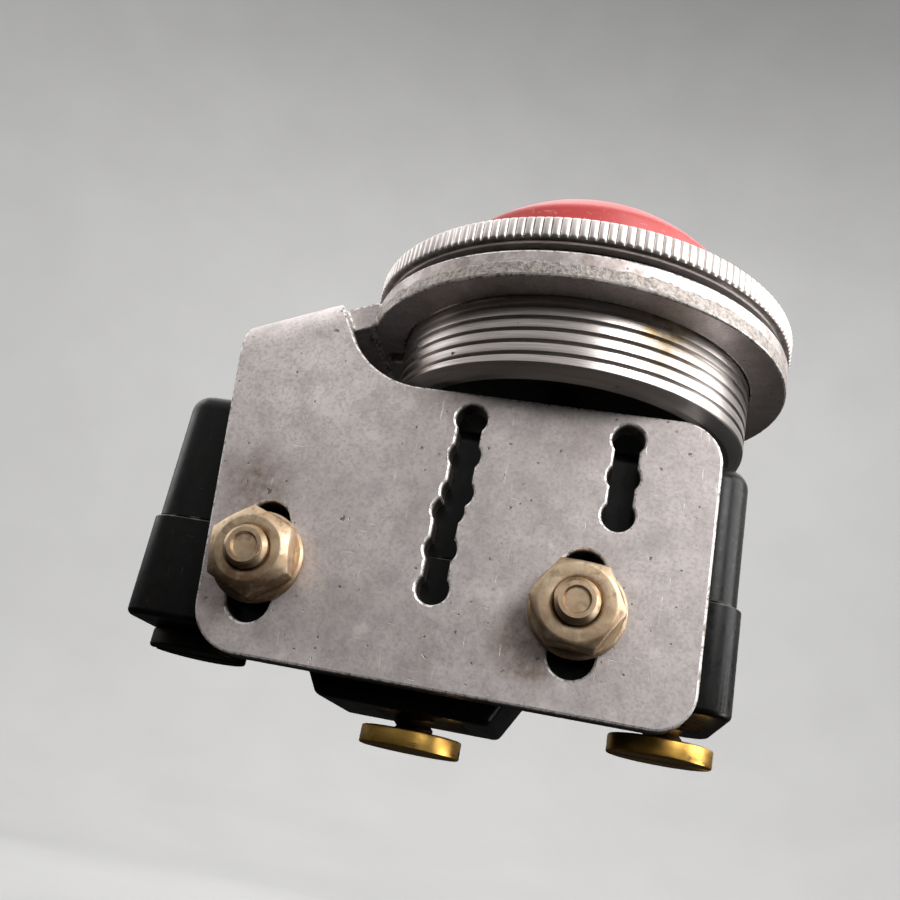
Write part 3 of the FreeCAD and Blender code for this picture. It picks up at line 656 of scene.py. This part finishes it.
# plain mottled finishes: two colours, metallic, roughness and the size of the mottling
plainLooks = {
    "gasketRubber": ((0.010, 0.010, 0.010), (0.03, 0.027, 0.025), 0.0, 0.6, 1.5),
    "springSteel": ((0.42, 0.41, 0.40), (0.28, 0.27, 0.26), 1.0, 0.32, 0.8),
    "plungerMoulding": ((0.20, 0.025, 0.015), (0.12, 0.018, 0.012), 0.0, 0.4, 1.2),
    "bladeCopper": ((0.72, 0.42, 0.24), (0.55, 0.30, 0.16), 1.0, 0.3, 1.5),
    "contactSilver": ((0.85, 0.84, 0.80), (0.60, 0.58, 0.54), 1.0, 0.28, 0.8),
    # painted shade: near-black steel for the inner parts, which show only in shade
    "darkSteel": ((0.045, 0.042, 0.04), (0.08, 0.072, 0.065), 1.0, 0.45, 1.2),
    # painted shade: brass darkened nearly to black for the straps and threads under the case
    "strapBrass": ((0.14, 0.09, 0.04), (0.06, 0.038, 0.018), 1.0, 0.5, 1.4),
}
plainPattern = {"detail": 5.0, "span": (0.36, 0.66), "sheen": (0.8, 1.25), "skinBump": (0.015, 0.4)}


def plainFinish(name, first, second, metallic, roughness, size):
    look = plainPattern
    material, tree, shader = newMaterial(name, first, metallic, roughness)
    cloud = patches(tree, size, look["span"], detail=look["detail"])
    sheen = [roughness * share for share in look["sheen"]]
    rough = patches(tree, size / 3, noiseSpan, sheen, detail=look["detail"])
    normal = bump(tree, noise(tree, size / 4), *look["skinBump"])
    joinShader(tree, shader, tint(tree, cloud, first, second), rough, normal)
    return material


satinPlate = plateFinish()
wornEdgeAndHighlight = edgeWearAndHighlightFinish("wornEdgeAndHighlight")
turnedBarrel = barrelFinish()
platedBezel = bezelFinish()
redMoulding = redFinish()
blackPhenolic = blackFinish()
rubbedPhenolicAndHighlight = edgeWearAndHighlightFinish("rubbedPhenolicAndHighlight")
yellowZinc = zincFinish()
screwBrass = brassFinish()
plain = {name: plainFinish(name, *settings) for name, settings in plainLooks.items()}
print("finishes made:", len(bpy.data.materials))


def dress(piece, body, slotName, material, *replaced):
    piece.data.materials.clear()
    piece.data.materials.append(material)
    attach(piece, body)
    if replaced:
        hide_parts(*replaced)


# Barrel: a shallow thread from the bevelled lower end up through the flange, and a lip in the top

barrelLook = {
    "pitch": 1.06, "depth": 0.2, "steps": 160, "bevelWidth": 1.17, "bevelHeight": 0.64,
    "bore": 14.0, "lipRadius": 13.25, "lipHeight": 1.4, "smooth": 12,
    # share of the pitch, and share of the thread's depth
    "profile": [
        (0, 1), (0.1, 0.45), (0.17, 0.04), (0.24, 0), (0.76, 0), (0.83, 0.04), (0.9, 0.45), (1, 1),
    ],
    "endEase": 0.08, "endLift": 0.02, "tuck": 0.05,
}


def makeBarrel():
    low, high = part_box("barrel")
    radius = high.x / mm
    bottom = low.z / mm
    top = high.z / mm
    steps = barrelLook["steps"]
    bevelTop = bottom + barrelLook["bevelHeight"]
    endRadius = radius - barrelLook["bevelWidth"]
    bore = barrelLook["bore"]
    lip = barrelLook["lipRadius"]
    lipBottom = top - barrelLook["lipHeight"]
    sleeve = threadTube("barrelThread", radius, barrelLook, bevelTop, top, False)
    openEdit(sleeve)
    selectOpenEdges()
    bpy.ops.mesh.extrude_edges_move()
    bpy.ops.transform.resize(value=(bore / radius, bore / radius, 1), center_override=(0, 0, 0))
    bpy.ops.mesh.bridge_edge_loops()
    closeEdit()
    settle(sleeve, barrelLook["smooth"])
    lift = barrelLook["endLift"]
    tucked = radius - barrelLook["tuck"]        # the bevel ends just inside the thread
    end = turnPiece("barrelEnd", [
        (bore, bottom), (endRadius, bottom), (endRadius + barrelLook["endEase"], bottom + lift),
        (tucked, bevelTop - lift), (tucked, bevelTop), (bore, bevelTop),
    ], steps)
    rim = turnPiece("barrelLip", [
        (lip, lipBottom), (bore, lipBottom), (bore, top), (lip, top),
    ], steps)
    barrel = joinPieces("threadedBarrel", [sleeve, end, rim])
    dress(barrel, "housing", "turned_metal", turnedBarrel, "barrel")
    print("barrel made:", len(barrel.data.polygons), "faces")


makeBarrel()


# Bezel ring: broad rounded ridges with fine grooves between, over a plain lip and under a slope

bezelLook = {
    "ridges": 164, "depth": 0.26, "lip": 0.55, "opening": 13.6, "bore": 15.98, "crown": 0.5,
    "shelf": 0.15, "bodySteps": 164, "smooth": 50,
    # around one ridge: share of the pitch, and share of the ridge's height
    "ridge": ((0.0, 0.0), (0.09, 0.66), (0.27, 0.94), (0.5, 1.0), (0.73, 0.94), (0.91, 0.66)),
    # up one ridge: millimetres from its nearer end, and share of the ridge's height
    "endEase": ((0.0, 0.35), (0.1, 0.75), (0.28, 1.0)),
    "ridgeLift": 0.22, "ridgeDrop": 0.1, "ridgeRoot": 0.3, "ridgeSlope": (0.5, 0.02),
    # the body's section: a line across, how far out of it, a level, how far above it
    "section": (
        ("bore", 0, "bottom", 0), ("lip", -0.15, "bottom", 0), ("lip", 0, "bottom", 0.12),
        ("lip", 0, "bottom", 0.3), ("root", -0.1, "bottom", 0.32), ("root", -0.1, "top", -0.1),
        ("root", -0.4, "top", 0.03), ("opening", 2.2, "crown", -0.08), ("opening", 0.6, "crown", 0),
        ("opening", 0.15, "crown", -0.03), ("opening", 0, "crown", -0.18),
        ("opening", 0, "shelf", 0), ("bore", 0, "shelf", 0),
    ),
    "near": 0.01,
}


def makeBezel():
    low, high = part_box("bezel_ring")
    outer = high.x / mm
    bottom = low.z / mm
    top = high.z / mm - bezelLook["crown"]
    depth = bezelLook["depth"]
    root = outer - depth
    lines = {
        "bore": bezelLook["bore"], "opening": bezelLook["opening"], "root": root,
        "lip": outer - bezelLook["lip"], "bottom": bottom, "top": top, "crown": high.z / mm,
        "shelf": top - bezelLook["shelf"],
    }
    body = turnPiece("ringBody", [
        (lines[line] + out, lines[level] + up) for line, out, level, up in bezelLook["section"]
    ], bezelLook["bodySteps"])
    ridgeLow = bottom + bezelLook["ridgeLift"]
    ridgeHigh = top - bezelLook["ridgeDrop"]
    slopeIn, slopeUp = bezelLook["ridgeSlope"]
    rises = [rise for rise, share in bezelLook["endEase"]]
    outline = [(root - bezelLook["ridgeRoot"], ridgeLow), (root, ridgeLow)]
    outline += [(outer, ridgeLow + rise) for rise in rises]
    outline += [(outer, ridgeHigh - rise) for rise in reversed(rises)]
    outline += [(root, ridgeHigh), (root - slopeIn, top + slopeUp)]
    perRidge = len(bezelLook["ridge"])
    ridgeSteps = bezelLook["ridges"] * perRidge
    band = turnPiece("ringRidges", outline, ridgeSteps, closed=False)

    def shapeRidge(co):
        radius = math.hypot(co.x, co.y)
        count = round(math.atan2(co.y, co.x) / fullTurn * ridgeSteps)
        share, height = bezelLook["ridge"][count % perRidge]
        angle = (count // perRidge + share) / bezelLook["ridges"] * fullTurn
        if radius > root + bezelLook["near"]:
            fromEnd = min(co.z - ridgeLow, ridgeHigh - co.z) + bezelLook["near"]
            ease = max(value for rise, value in bezelLook["endEase"] if rise <= fromEnd)
            radius = root + depth * height * ease
        return Vector((radius * math.cos(angle), radius * math.sin(angle), co.z))

    moveVerts(band, shapeRidge)
    ring = joinPieces("knurledRing", [body, band])
    settle(ring, bezelLook["smooth"])
    dress(ring, "housing", "bezel_metal", platedBezel, "bezel_ring")
    print("bezel ring made:", len(ring.data.polygons), "faces")


makeBezel()


# Button cap: a low dome with an eased edge on a hollow skirt

capLook = {
    "domeRadius": 17.5, "radius": 13.0, "edge": 1.0, "wall": 1.9, "skirt": 0.8, "skirtTop": 1.45,
    "skirtHeight": 3.4, "ceiling": 6.93, "boss": 3.4, "bossHeight": 1.0, "steps": 128,
    "domeSteps": 28, "edgeSteps": 8,
}


def makeCap():
    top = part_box("button_cap")[1].z / mm
    radius = capLook["radius"]
    edge = capLook["edge"]
    ceiling = capLook["ceiling"]
    centre = top - capLook["domeRadius"]
    inside = capLook["domeRadius"] - edge
    edgeRadius = radius - edge
    meet = math.degrees(math.acos(edgeRadius / inside))
    edgeHeight = centre + inside * math.sin(math.radians(meet))
    outline = arcPoints((0, centre), capLook["domeRadius"], 90, meet, capLook["domeSteps"])
    outline += arcPoints((edgeRadius, edgeHeight), edge, meet, 0, capLook["edgeSteps"])[1:]
    inner = radius - capLook["wall"]
    skirtRadius = radius + capLook["skirt"]
    skirtBottom = capLook["skirtTop"] - capLook["skirtHeight"]
    bossBottom = ceiling - capLook["bossHeight"]
    outline += [
        (radius, capLook["skirtTop"]), (skirtRadius, capLook["skirtTop"]),
        (skirtRadius, skirtBottom), (inner, skirtBottom), (inner, ceiling),
        (capLook["boss"], ceiling), (capLook["boss"], bossBottom), (0, bossBottom),
    ]
    cap = turnPiece("redButton", outline, capLook["steps"], closed=False)
    dress(cap, "button", "red_plastic", redMoulding, "button_cap")
    print("button cap made:", len(cap.data.polygons), "faces")


makeCap()


# Screws, nuts and washers are modelled along +Z, then laid along -Y at the two holes

fastenerLook = {
    "radius": 1.72, "pitch": 0.79, "depth": 0.32, "steps": 40, "threadLength": 9.0,
    "profile": [(0, 1), (0.36, 0.12), (0.5, 0), (0.64, 0.12), (1, 1)],
    "tipEase": 0.34, "tipRim": 0.33, "tipDish": 0.3, "dishShare": 0.86,
    "headRadius": 3.3, "headHeight": 2.2, "headRound": 0.7, "roundSteps": 6, "shankCut": 0.3,
    "slotWidth": 1.0, "slotDepth": 0.75, "near": 0.001, "smooth": 40,
}
nutLook = {
    "acrossFlats": 6.35, "bevelAngle": 30, "hole": 1.77, "sink": 1.95, "turns": (38.3, 57.5),
    "faceRadii": (2.62, 2.92), "coneSteps": 96, "holeSteps": 48, "smooth": 35,
    "edgeWidth": 0.13, "edgeSegments": 3, "edgeAngle": 25,
}
washerLook = {
    "radius": 3.73, "hole": 1.82, "rearEdge": 0.12, "frontEdge": 0.192, "steps": 72, "smooth": 30,
}


def layAlongY(piece, x, z):
    piece.rotation_euler = (math.pi / 2, 0, 0)
    piece.location = (x * mm, 0, z * mm)
    pick(piece)
    bakePlace()


def cutWith(piece, cutter, operation="DIFFERENCE"):
    useModifier(piece, "BOOLEAN", operation=operation, object=cutter, solver="EXACT")
    bpy.data.objects.remove(cutter)


def slotCutter(width, length, low, high):
    clearSelection()
    bpy.ops.mesh.primitive_cube_add(size=1, location=(0, 0, (low + high) / 2 * mm))
    cutter = bpy.context.object
    cutter.scale = (length * mm, width * mm, (high - low) * mm)
    bakePlace()
    return cutter


def holePlaces():
    low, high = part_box("mounting_screws")
    radius = fastenerLook["headRadius"]
    level = (low.z + high.z) / 2 / mm
    return [(low.x / mm + radius, level), (high.x / mm - radius, level)]


def makeMountingScrews():
    low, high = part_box("mounting_screws")
    radius = fastenerLook["radius"]
    tip = -low.y / mm
    headTop = -high.y / mm
    headBottom = headTop + fastenerLook["headHeight"]
    threadStart = tip - fastenerLook["threadLength"]
    thread = threadTube("screwThread", radius, fastenerLook, threadStart, tip, True)

    def easeTip(co):
        across = math.hypot(co.x, co.y)
        limit = radius - max(0.0, fastenerLook["tipEase"] - (tip - co.z))
        if across <= limit:
            return co
        return Vector((co.x * limit / across, co.y * limit / across, co.z))

    moveVerts(thread, easeTip)
    openEdit(thread)
    selectVerts(thread, lambda co: co.z > tip - fastenerLook["near"])
    bpy.ops.mesh.inset(thickness=fastenerLook["tipRim"] * mm)
    sunk = (0, 0, -fastenerLook["tipDish"] * mm)
    bpy.ops.mesh.extrude_region_move(TRANSFORM_OT_translate={"value": sunk})
    share = fastenerLook["dishShare"]
    bpy.ops.transform.resize(value=(share, share, 1), center_override=(0, 0, tip * mm))
    closeEdit()
    settle(thread, fastenerLook["smooth"])
    ease = fastenerLook["headRound"]
    wide = fastenerLook["headRadius"]
    shank = radius - fastenerLook["shankCut"]
    outline = [(0, threadStart), (shank, threadStart), (shank, headBottom), (wide, headBottom)]
    outline += arcPoints((wide - ease, headTop + ease), ease, 0, -90, fastenerLook["roundSteps"])
    outline.append((0, headTop))
    head = turnPiece("screwHead", outline, fastenerLook["steps"], closed=False)
    cutWith(head, slotCutter(
        fastenerLook["slotWidth"], 2 * wide + spare, headTop - spare,
        headTop + fastenerLook["slotDepth"],
    ))
    first = joinPieces("screwLeft", [thread, head])
    second = copyPiece(first, "screwRight")
    for screw, (x, level) in zip((first, second), holePlaces()):
        layAlongY(screw, x, level)
    screws = joinPieces("mountingScrews", [first, second])
    settle(screws, fastenerLook["smooth"])
    dress(screws, "housing", "plated_steel", yellowZinc, "mounting_screws")
    print("mounting screws made:", len(screws.data.polygons), "faces")


def makeNuts():
    low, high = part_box("mounting_nuts")
    front = -low.y / mm
    rear = -high.y / mm
    corner = nutLook["acrossFlats"] / math.sqrt(3)
    slope = math.tan(math.radians(nutLook["bevelAngle"]))
    sink = nutLook["sink"]
    hole = nutLook["hole"]
    wide = corner + spare
    nuts = []
    for turn, face, (x, level) in zip(nutLook["turns"], nutLook["faceRadii"], holePlaces()):
        clearSelection()
        bpy.ops.mesh.primitive_cylinder_add(
            vertices=6, radius=corner * mm, depth=(front - rear) * mm,
            location=(0, 0, (front + rear) / 2 * mm),
        )
        nut = bpy.context.object
        nut.rotation_euler = (0, 0, math.radians(turn - 90))
        bakePlace()
        turned = turnPiece("nutCone", [
            (0, rear - spare), (wide, rear - spare), (wide, front - (wide - face) * slope),
            (face, front), (0, front),
        ], nutLook["coneSteps"], closed=False)
        cutWith(nut, turned, "INTERSECT")
        drill = turnPiece("nutHole", [
            (0, rear - spare), (hole, rear - spare), (hole, front - (sink - hole)), (sink, front),
            (sink, front + spare), (0, front + spare),
        ], nutLook["holeSteps"], closed=False)
        cutWith(nut, drill)
        useModifier(
            nut, "BEVEL", width=nutLook["edgeWidth"] * mm, segments=nutLook["edgeSegments"],
            limit_method="ANGLE", angle_limit=math.radians(nutLook["edgeAngle"]),
        )
        layAlongY(nut, x, level)
        nuts.append(nut)
    made = joinPieces("hexNuts", nuts)
    settle(made, nutLook["smooth"])
    dress(made, "housing", "plated_steel", yellowZinc, "mounting_nuts")
    print("nuts made:", len(made.data.polygons), "faces")


def makeWashers():
    low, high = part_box("mounting_washers")
    front = -low.y / mm
    rear = -high.y / mm
    rearEdge = washerLook["rearEdge"]
    frontEdge = washerLook["frontEdge"]
    radius = washerLook["radius"]
    hole = washerLook["hole"]
    washers = []
    for x, level in holePlaces():
        washer = turnPiece("washer", [
            (hole, rear), (radius - rearEdge, rear), (radius, rear + rearEdge),
            (radius, front - frontEdge), (radius - frontEdge, front), (hole, front),
        ], washerLook["steps"])
        layAlongY(washer, x, level)
        washers.append(washer)
    made = joinPieces("flatWashers", washers)
    settle(made, washerLook["smooth"])
    dress(made, "housing", "plated_steel", yellowZinc, "mounting_washers")
    print("washers made:", len(made.data.polygons), "faces")


makeMountingScrews()
makeNuts()
makeWashers()


# Terminal screws: wide binding heads, backed off so that their thread shows

terminalLook = {
    "radius": 1.7, "pitch": 0.79, "depth": 0.3, "steps": 40, "profile": fastenerLook["profile"],
    "shank": 5.5, "headRadius": 4.25, "headHeight": 1.5, "headRound": 0.16, "roundSteps": 5,
    "headSteps": 80, "slotWidth": 1.0, "slotDepth": 0.75, "threadSmooth": 40, "smooth": 35,
    "near": 0.01,
    # place along the case, and height of the head above the lowest one
    "places": ((-28.65, 4.55), (-8.425, 0.0), (11.8, 3.0)),
}


def makeTerminalScrews():
    radius = terminalLook["radius"]
    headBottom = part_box("terminal_screws")[0].z / mm - terminalLook["places"][1][1]
    headTop = headBottom + terminalLook["headHeight"]
    threadEnd = headTop + terminalLook["shank"]
    thread = threadTube("terminalThread", radius, terminalLook, headTop, threadEnd, True)
    settle(thread, terminalLook["threadSmooth"])
    ease = terminalLook["headRound"]
    wide = terminalLook["headRadius"]
    outline = [(0, headBottom)]
    outline += arcPoints((wide - ease, headBottom + ease), ease, -90, 0, terminalLook["roundSteps"])
    outline += arcPoints((wide - ease, headTop - ease), ease, 0, 90, terminalLook["roundSteps"])
    outline += [(0, headTop)]
    head = turnPiece("terminalHead", outline, terminalLook["headSteps"], closed=False)
    cutWith(head, slotCutter(
        terminalLook["slotWidth"], 2 * wide + spare, headBottom - spare,
        headBottom + terminalLook["slotDepth"],
    ))
    first = joinPieces("terminalScrew", [thread, head])
    screws = [first, copyPiece(first, "terminalScrewTwo"), copyPiece(first, "terminalScrewThree")]
    for screw, (x, rise) in zip(screws, terminalLook["places"]):
        screw.location = (x * mm, 0, rise * mm)
        pick(screw)
        bakePlace()
    made = joinPieces("terminalScrews", screws)
    settle(made, terminalLook["smooth"])
    dress(made, "housing", "terminal_brass", screwBrass, "terminal_screws")
    # painted shade: the threads above the heads take the darkened brass
    made.data.materials.append(plain["strapBrass"])        # for the threads above the heads
    for face in made.data.polygons:
        centre = face.center / mm
        for x, rise in terminalLook["places"]:
            above = centre.z > headTop + rise + terminalLook["near"]
            if above and math.hypot(centre.x - x, centre.y) < radius:
                face.material_index = 1
    print("terminal screws made:", len(made.data.polygons), "faces")


makeTerminalScrews()


# Springs: round wire wound between two seats

springLooks = {
    "return_spring": {
        "radius": 4.9, "wire": 0.8, "turns": 3.5, "body": "housing", "joint": "stem_slide",
        "keep": 0.88,
    },
    "overtravel_spring": {
        "radius": 4.2, "wire": 0.7, "turns": 4.5, "body": "stem", "joint": "button_press",
        "keep": 0.776,
    },
}
wireLook = {"sides": 12, "stepsPerTurn": 48, "smooth": 40}


def makeSpring(nodeName, look):
    low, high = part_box(nodeName)
    wire = look["wire"] * mm
    clearSelection()
    bpy.ops.mesh.primitive_circle_add(
        vertices=wireLook["sides"], radius=wire / 2,
        location=(look["radius"] * mm, 0, low.z + wire / 2), rotation=(math.pi / 2, 0, 0),
    )
    spring = bpy.context.object
    spring.name = "coil_" + nodeName
    bakePlace()
    steps = round(wireLook["stepsPerTurn"] * look["turns"])
    useModifier(
        spring, "SCREW", angle=fullTurn * look["turns"], screw_offset=high.z - low.z - wire,
        steps=steps, render_steps=steps, use_merge_vertices=False,
    )
    openEdit(spring)
    bpy.ops.mesh.fill_holes(sides=0)
    closeEdit()
    settle(spring, wireLook["smooth"])
    dress(spring, look["body"], "spring_steel", plain["springSteel"], nodeName)
    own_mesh(spring)
    print("spring made:", spring.name)


for springName, springLook in springLooks.items():
    makeSpring(springName, springLook)


# CAD pieces that keep their own shape: eased edges and a finish, the last one on the edges

edgeLook = {
    "bracket": {"width": 0.2, "finish": (satinPlate, wornEdgeAndHighlight)},
    "switch_base": {"width": 0.12, "finish": (blackPhenolic, rubbedPhenolicAndHighlight)},
    "switch_cover": {"width": 0.12, "finish": (blackPhenolic, rubbedPhenolicAndHighlight)},
    "panel_gasket": {"width": 0.1, "finish": (plain["gasketRubber"],)},
    "guide_plate": {"width": 0.08, "finish": (plain["darkSteel"],)},
    "retaining_ring": {"width": 0.05, "finish": (plain["darkSteel"],)},
    "actuator_stem": {"width": 0.06, "finish": (plain["darkSteel"],)},
    "switch_plunger": {"width": 0.05, "finish": (plain["plungerMoulding"],)},
    "contact_blade": {"width": 0.03, "finish": (plain["bladeCopper"],)},
    "moving_contact": {"width": 0.04, "finish": (plain["contactSilver"],)},
    "upper_contact": {"width": 0.04, "finish": (plain["contactSilver"],)},
    "lower_contact": {"width": 0.04, "finish": (plain["contactSilver"],)},
    "blade_rivet": {"width": 0.04, "finish": (plain["strapBrass"],)},
    "common_terminal": {"width": 0.05, "finish": (plain["strapBrass"],)},
    "normally_open_terminal": {"width": 0.05, "finish": (plain["strapBrass"],)},
    "normally_closed_terminal": {"width": 0.05, "finish": (plain["strapBrass"],)},
}
easeLook = {
    "weldGap": 0.002, "flatAngle": 0.6, "segments": 2, "edgeAngle": 40, "splitAngle": 18,
    "smooth": 30,
}


def dressNode(name, look):
    piece = nodes[name]
    piece.data.materials.clear()
    for material in look["finish"]:
        piece.data.materials.append(material)
    weld = piece.modifiers.new("weld", "WELD")
    weld.merge_threshold = easeLook["weldGap"] * mm
    flat = piece.modifiers.new("flat", "DECIMATE")        # whole flat faces take the bevel cleanly
    flat.decimate_type = "DISSOLVE"
    flat.angle_limit = math.radians(easeLook["flatAngle"])
    bevel = piece.modifiers.new("edges", "BEVEL")
    bevel.width = look["width"] * mm
    bevel.segments = easeLook["segments"]
    bevel.limit_method = "ANGLE"
    bevel.angle_limit = math.radians(easeLook["edgeAngle"])
    bevel.use_clamp_overlap = False
    bevel.material = len(look["finish"]) - 1
    split = piece.modifiers.new("flats", "EDGE_SPLIT")
    split.split_angle = math.radians(easeLook["splitAngle"])
    pick(piece)
    bpy.ops.object.shade_smooth_by_angle(angle=math.radians(easeLook["smooth"]))


for nodeName, nodeLook in edgeLook.items():
    dressNode(nodeName, nodeLook)
print("CAD pieces dressed:", len(edgeLook))


# Stage: a pale round floor that sweeps up into a wall

stageLook = {
    "floor": -85.0, "flat": 420.0, "sweep": 300.0, "wall": 900.0, "steps": 96, "sweepSteps": 16,
    "colour": (0.27, 0.268, 0.266), "shade": (0.255, 0.253, 0.251), "roughness": 0.65,
    "paper": {"size": 60.0, "detail": 3.0, "span": noiseSpan},
}


def makeStage():
    level = stageLook["floor"]
    flat = stageLook["flat"]
    sweep = stageLook["sweep"]
    outline = [(0, level), (flat, level)]
    outline += arcPoints((flat, level + sweep), sweep, -90, 0, stageLook["sweepSteps"])[1:]
    outline.append((flat + sweep, stageLook["wall"]))
    floor = turnPiece("paleFloor", outline, stageLook["steps"], closed=False)
    openEdit(floor)
    bpy.ops.mesh.flip_normals()
    closeEdit()
    material, tree, shader = newMaterial(
        "paleFloor", stageLook["colour"], 0.0, stageLook["roughness"],
    )
    paper = patches(tree, **stageLook["paper"])
    colour = tint(tree, paper, stageLook["colour"], stageLook["shade"])
    tree.links.new(colour, shader.inputs["Base Color"])
    floor.data.materials.append(material)
    floor.visible_glossy = False        # the metal mirrors the dark room instead of the floor
    floor.visible_diffuse = False


makeStage()


# Studio light and the camera of the photograph

partMiddle = (-7, 0, -12)
lightLook = {
    "key": {"place": (300, -430, 230), "aim": partMiddle, "size": 240, "power": 1.9},
    "top": {"place": (0, 150, 340), "aim": partMiddle, "size": 520, "power": 0.8},
    "left": {"place": (-320, 60, 150), "aim": partMiddle, "size": 240, "power": 0.25},
    "right": {"place": (330, -40, 120), "aim": partMiddle, "size": 260, "power": 1.0},
    "low": {"place": (300, 20, -110), "aim": partMiddle, "size": 140, "power": 0.4},
    "backdrop": {"place": (0, 150, 300), "aim": (-140, 720, 260), "size": 420, "power": 6.5},
}
airLook = {"below": 0.02, "above": 0.95, "horizon": (-0.02, 0.75), "colour": (1.0, 0.99, 0.985, 1)}


def makeLights():
    for name, look in lightLook.items():
        data = bpy.data.lights.new(name, "AREA")
        data.shape = "SQUARE"
        data.size = look["size"] * mm
        data.energy = look["power"]
        lamp = bpy.data.objects.new(name + "Light", data)
        bpy.context.scene.collection.objects.link(lamp)
        place = Vector(look["place"]) * mm
        aim = Vector(look["aim"]) * mm
        lamp.location = place
        lamp.rotation_euler = (aim - place).to_track_quat("-Z", "Y").to_euler()
    world = bpy.data.worlds.new("studioAir")
    world.use_nodes = True
    tree = world.node_tree
    air = tree.nodes["Background"]
    air.inputs["Color"].default_value = airLook["colour"]
    around = addNode(tree, "ShaderNodeTexCoord").outputs["Generated"]
    rise = addNode(tree, "ShaderNodeSeparateXYZ", {"Vector": around}).outputs["Z"]
    glow = remap(tree, rise, *airLook["horizon"], airLook["below"], airLook["above"])
    tree.links.new(glow, air.inputs["Strength"])
    bpy.context.scene.world = world
    bpy.context.scene.view_settings.view_transform = "Standard"


cameraLook = {
    "place": (6.074, -86.091, -41.943), "ahead": (-0.1743, 0.9253, 0.3369),
    "up": (-0.138, -0.3617, 0.922), "lens": 40.09, "sensor": 36.0, "nearest": 5,
}


def makeCamera():
    data = bpy.data.cameras.new("photoCamera")
    data.lens = cameraLook["lens"]
    data.sensor_width = cameraLook["sensor"]
    data.clip_start = cameraLook["nearest"] * mm
    camera = bpy.data.objects.new("photoCamera", data)
    bpy.context.scene.collection.objects.link(camera)
    ahead = Vector(cameraLook["ahead"]).normalized()
    right = ahead.cross(Vector(cameraLook["up"])).normalized()
    up = right.cross(ahead)
    turned = Matrix((right, up, -ahead)).transposed().to_4x4()
    camera.matrix_world = Matrix.Translation(Vector(cameraLook["place"]) * mm) @ turned
    bpy.context.scene.camera = camera


makeLights()
makeCamera()
print("stage, light and camera made")
